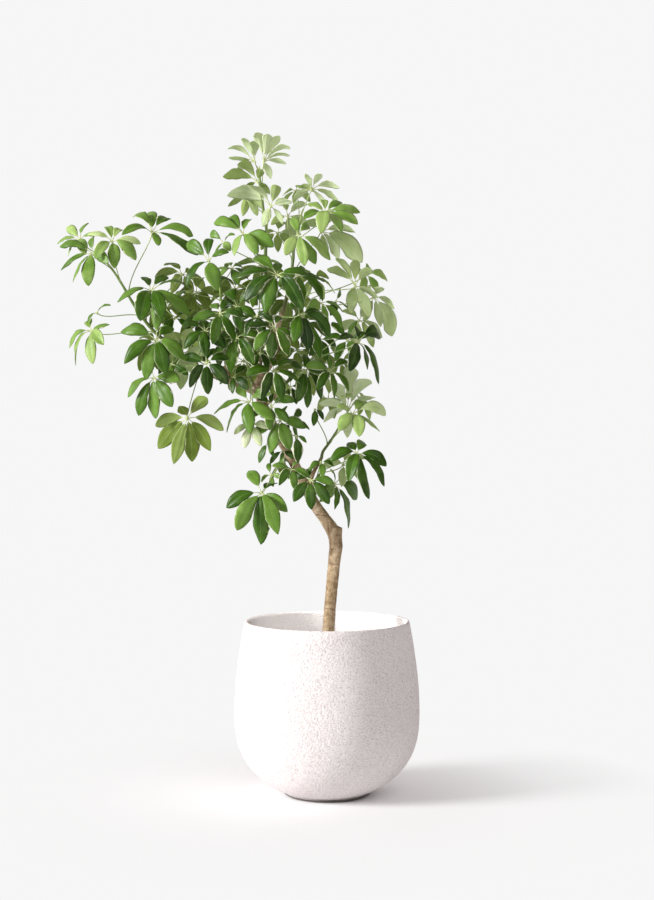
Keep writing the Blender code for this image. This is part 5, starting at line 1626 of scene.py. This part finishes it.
def stoneware_material():
    """Unglazed warm white stoneware: grainy and finely pitted, with painted shade in the pits, smoother
    and painted lighter inside, and a painted contact shadow on the foot.
    """
    nodes = material_nodes("stoneware")
    inside, _, _ = nodes.attribute("inside")
    # The inside is painted paler, as painted light
    colour = nodes.mix(inside, nodes.ramp(nodes.noise(9.0, 3.0), STONEWARE), PAINTED_LIGHT_INSIDE)

    # Painted shade darkens the pits where the grain is high, and a painted contact shadow darkens the foot
    # below 4 mm
    grain = nodes.noise(310.0, 2.0, 0.6, (1.0, 1.0, 1.6))
    depth = nodes.math("MULTIPLY_ADD", inside, -0.24, 0.34)
    colour = nodes.tint(colour, PAINTED_PIT_SHADE, nodes.above(grain, 0.505, 7.0), depth)
    colour = nodes.tint(colour, PAINTED_CONTACT_SHADE, nodes.above(nodes.height(), 0.0042, -2500.0), 0.85)

    # Relief of the grain, lower on the inside
    fine = nodes.noise(560.0, 1.0, 0.5, (1.0, 1.0, 1.4))
    height = nodes.math("MULTIPLY_ADD", fine, 0.4, nodes.math("MULTIPLY", grain, -1.8))
    height = nodes.math("MULTIPLY", height, nodes.math("MULTIPLY_ADD", inside, -0.65, 1.0))
    nodes.bump(height, 1.0, 0.0027)
    return nodes.done(colour, 0.88, 0.3)


def soil_material():
    """Dark brown potting mix."""
    nodes = material_nodes("potting_mix")
    nodes.bump(nodes.noise(700.0, 4.0), 0.8, 0.0008)
    return nodes.done(nodes.ramp(nodes.noise(260.0, 4.0, 0.6), SOIL_BROWNS), 0.95, 0.2)


def perlite_material():
    """White crushed grains."""
    nodes = material_nodes("perlite")
    nodes.bump(nodes.noise(1200.0, 3.0), 0.6, 0.0004)
    return nodes.done(nodes.ramp(nodes.noise(900.0, 2.0), PERLITE_WHITES), 0.9, 0.3)


def make_floor():
    """A plain pale studio floor that takes a shadow only near the pot."""
    size = FLOOR_SIZE
    mesh = bpy.data.meshes.new("floor")
    mesh.from_pydata([(-size, -size, 0.0), (size, -size, 0.0), (size, size, 0.0), (-size, size, 0.0)],
                     [], [(0, 1, 2, 3)])
    nodes = material_nodes("studio_floor")
    far = nodes.fill(nodes.add("VectorMath", operation="LENGTH"), {0: nodes.coordinates()})
    reach = FLOOR_GLOW[-1][0]
    stops = [(distance / reach, share) for distance, share in FLOOR_GLOW]
    share = nodes.ramp(nodes.math("MULTIPLY", far.outputs["Value"], 1 / reach), stops)
    glow = nodes.fill(nodes.add("Emission"), {"Color": BACKDROP})
    nodes.show_mixed(share, nodes.shader, glow)
    mesh.materials.append(nodes.done(nodes.ramp(nodes.noise(3.0, 2.0), FLOOR_PALES), 0.9, 0.1))
    floor = add_object("floor", mesh)
    floor.location.z = -FLOOR_DROP


def add_lamp(name, kind, strength, travel):
    """A lamp whose light travels in the given direction."""
    lamp = bpy.data.lights.new(name, kind)
    lamp.energy = strength
    obj = add_object(name, lamp)
    obj.rotation_mode = "QUATERNION"
    obj.rotation_quaternion = travel.to_track_quat("-Z", "Y")
    return obj


def make_lamps():
    """A low soft lamp from the left, a broad weak one from the front, and one on the pot's mouth."""
    for name, (travel, strength, spread) in FAR_LAMPS.items():
        add_lamp(name, "SUN", strength, travel).data.angle = math.radians(spread)
    mouth = add_lamp("mouth", "SPOT", MOUTH_STRENGTH, MOUTH_AIM - MOUTH_LAMP)
    mouth.location = MOUTH_LAMP
    mouth.data.spot_size = math.radians(MOUTH_CONE)
    mouth.data.spot_blend = MOUTH_CONE_SOFTNESS
    mouth.data.shadow_soft_size = MOUTH_LAMP_SIZE


def make_surround():
    """Light from all round, brightest behind the plant and dimmest on the right, on a plain backdrop."""
    world = bpy.data.worlds.new("studio")
    nodes = Nodes(world, "World")
    direction = nodes.split(nodes.coordinates("Generated"))
    strength = SURROUND_BASE
    for axis, towards, more in SURROUND_SIDES:
        side = nodes.math("MULTIPLY", direction[axis], towards, clamp=True)
        strength = nodes.math("MULTIPLY_ADD", side, more, strength)
    surround = nodes.fill(nodes.tree.nodes["Background"], {"Color": SURROUND, "Strength": strength})
    backdrop = nodes.fill(nodes.add("Background"), {"Color": BACKDROP})
    nodes.show_mixed(nodes.add("LightPath").outputs["Is Camera Ray"], surround, backdrop)
    bpy.context.scene.world = world
    bpy.context.scene.view_settings.view_transform = "Standard"


def make_camera():
    camera = add_object("camera", bpy.data.cameras.new("camera"))
    camera.data.lens = LENS_MM
    camera.data.sensor_width = SENSOR_MM
    camera.data.shift_y = (MIDDLE - EYE.z) * LENS_MM / SENSOR_MM / -EYE.y
    camera.location = EYE
    camera.rotation_euler = (math.radians(90.0), 0.0, 0.0)
    bpy.context.scene.camera = camera


def main():
    make_camera()
    make_lamps()
    make_surround()
    make_floor()
    make_pot(stoneware_material())
    make_soil((soil_material(), perlite_material()))
    make_wood(bark_material())
    sides = [leaf_material(name, *look) for name, look in LEAF_SIDES.items()]
    make_leafy_stems((*sides, stalk_material(), stem_material()))


main()
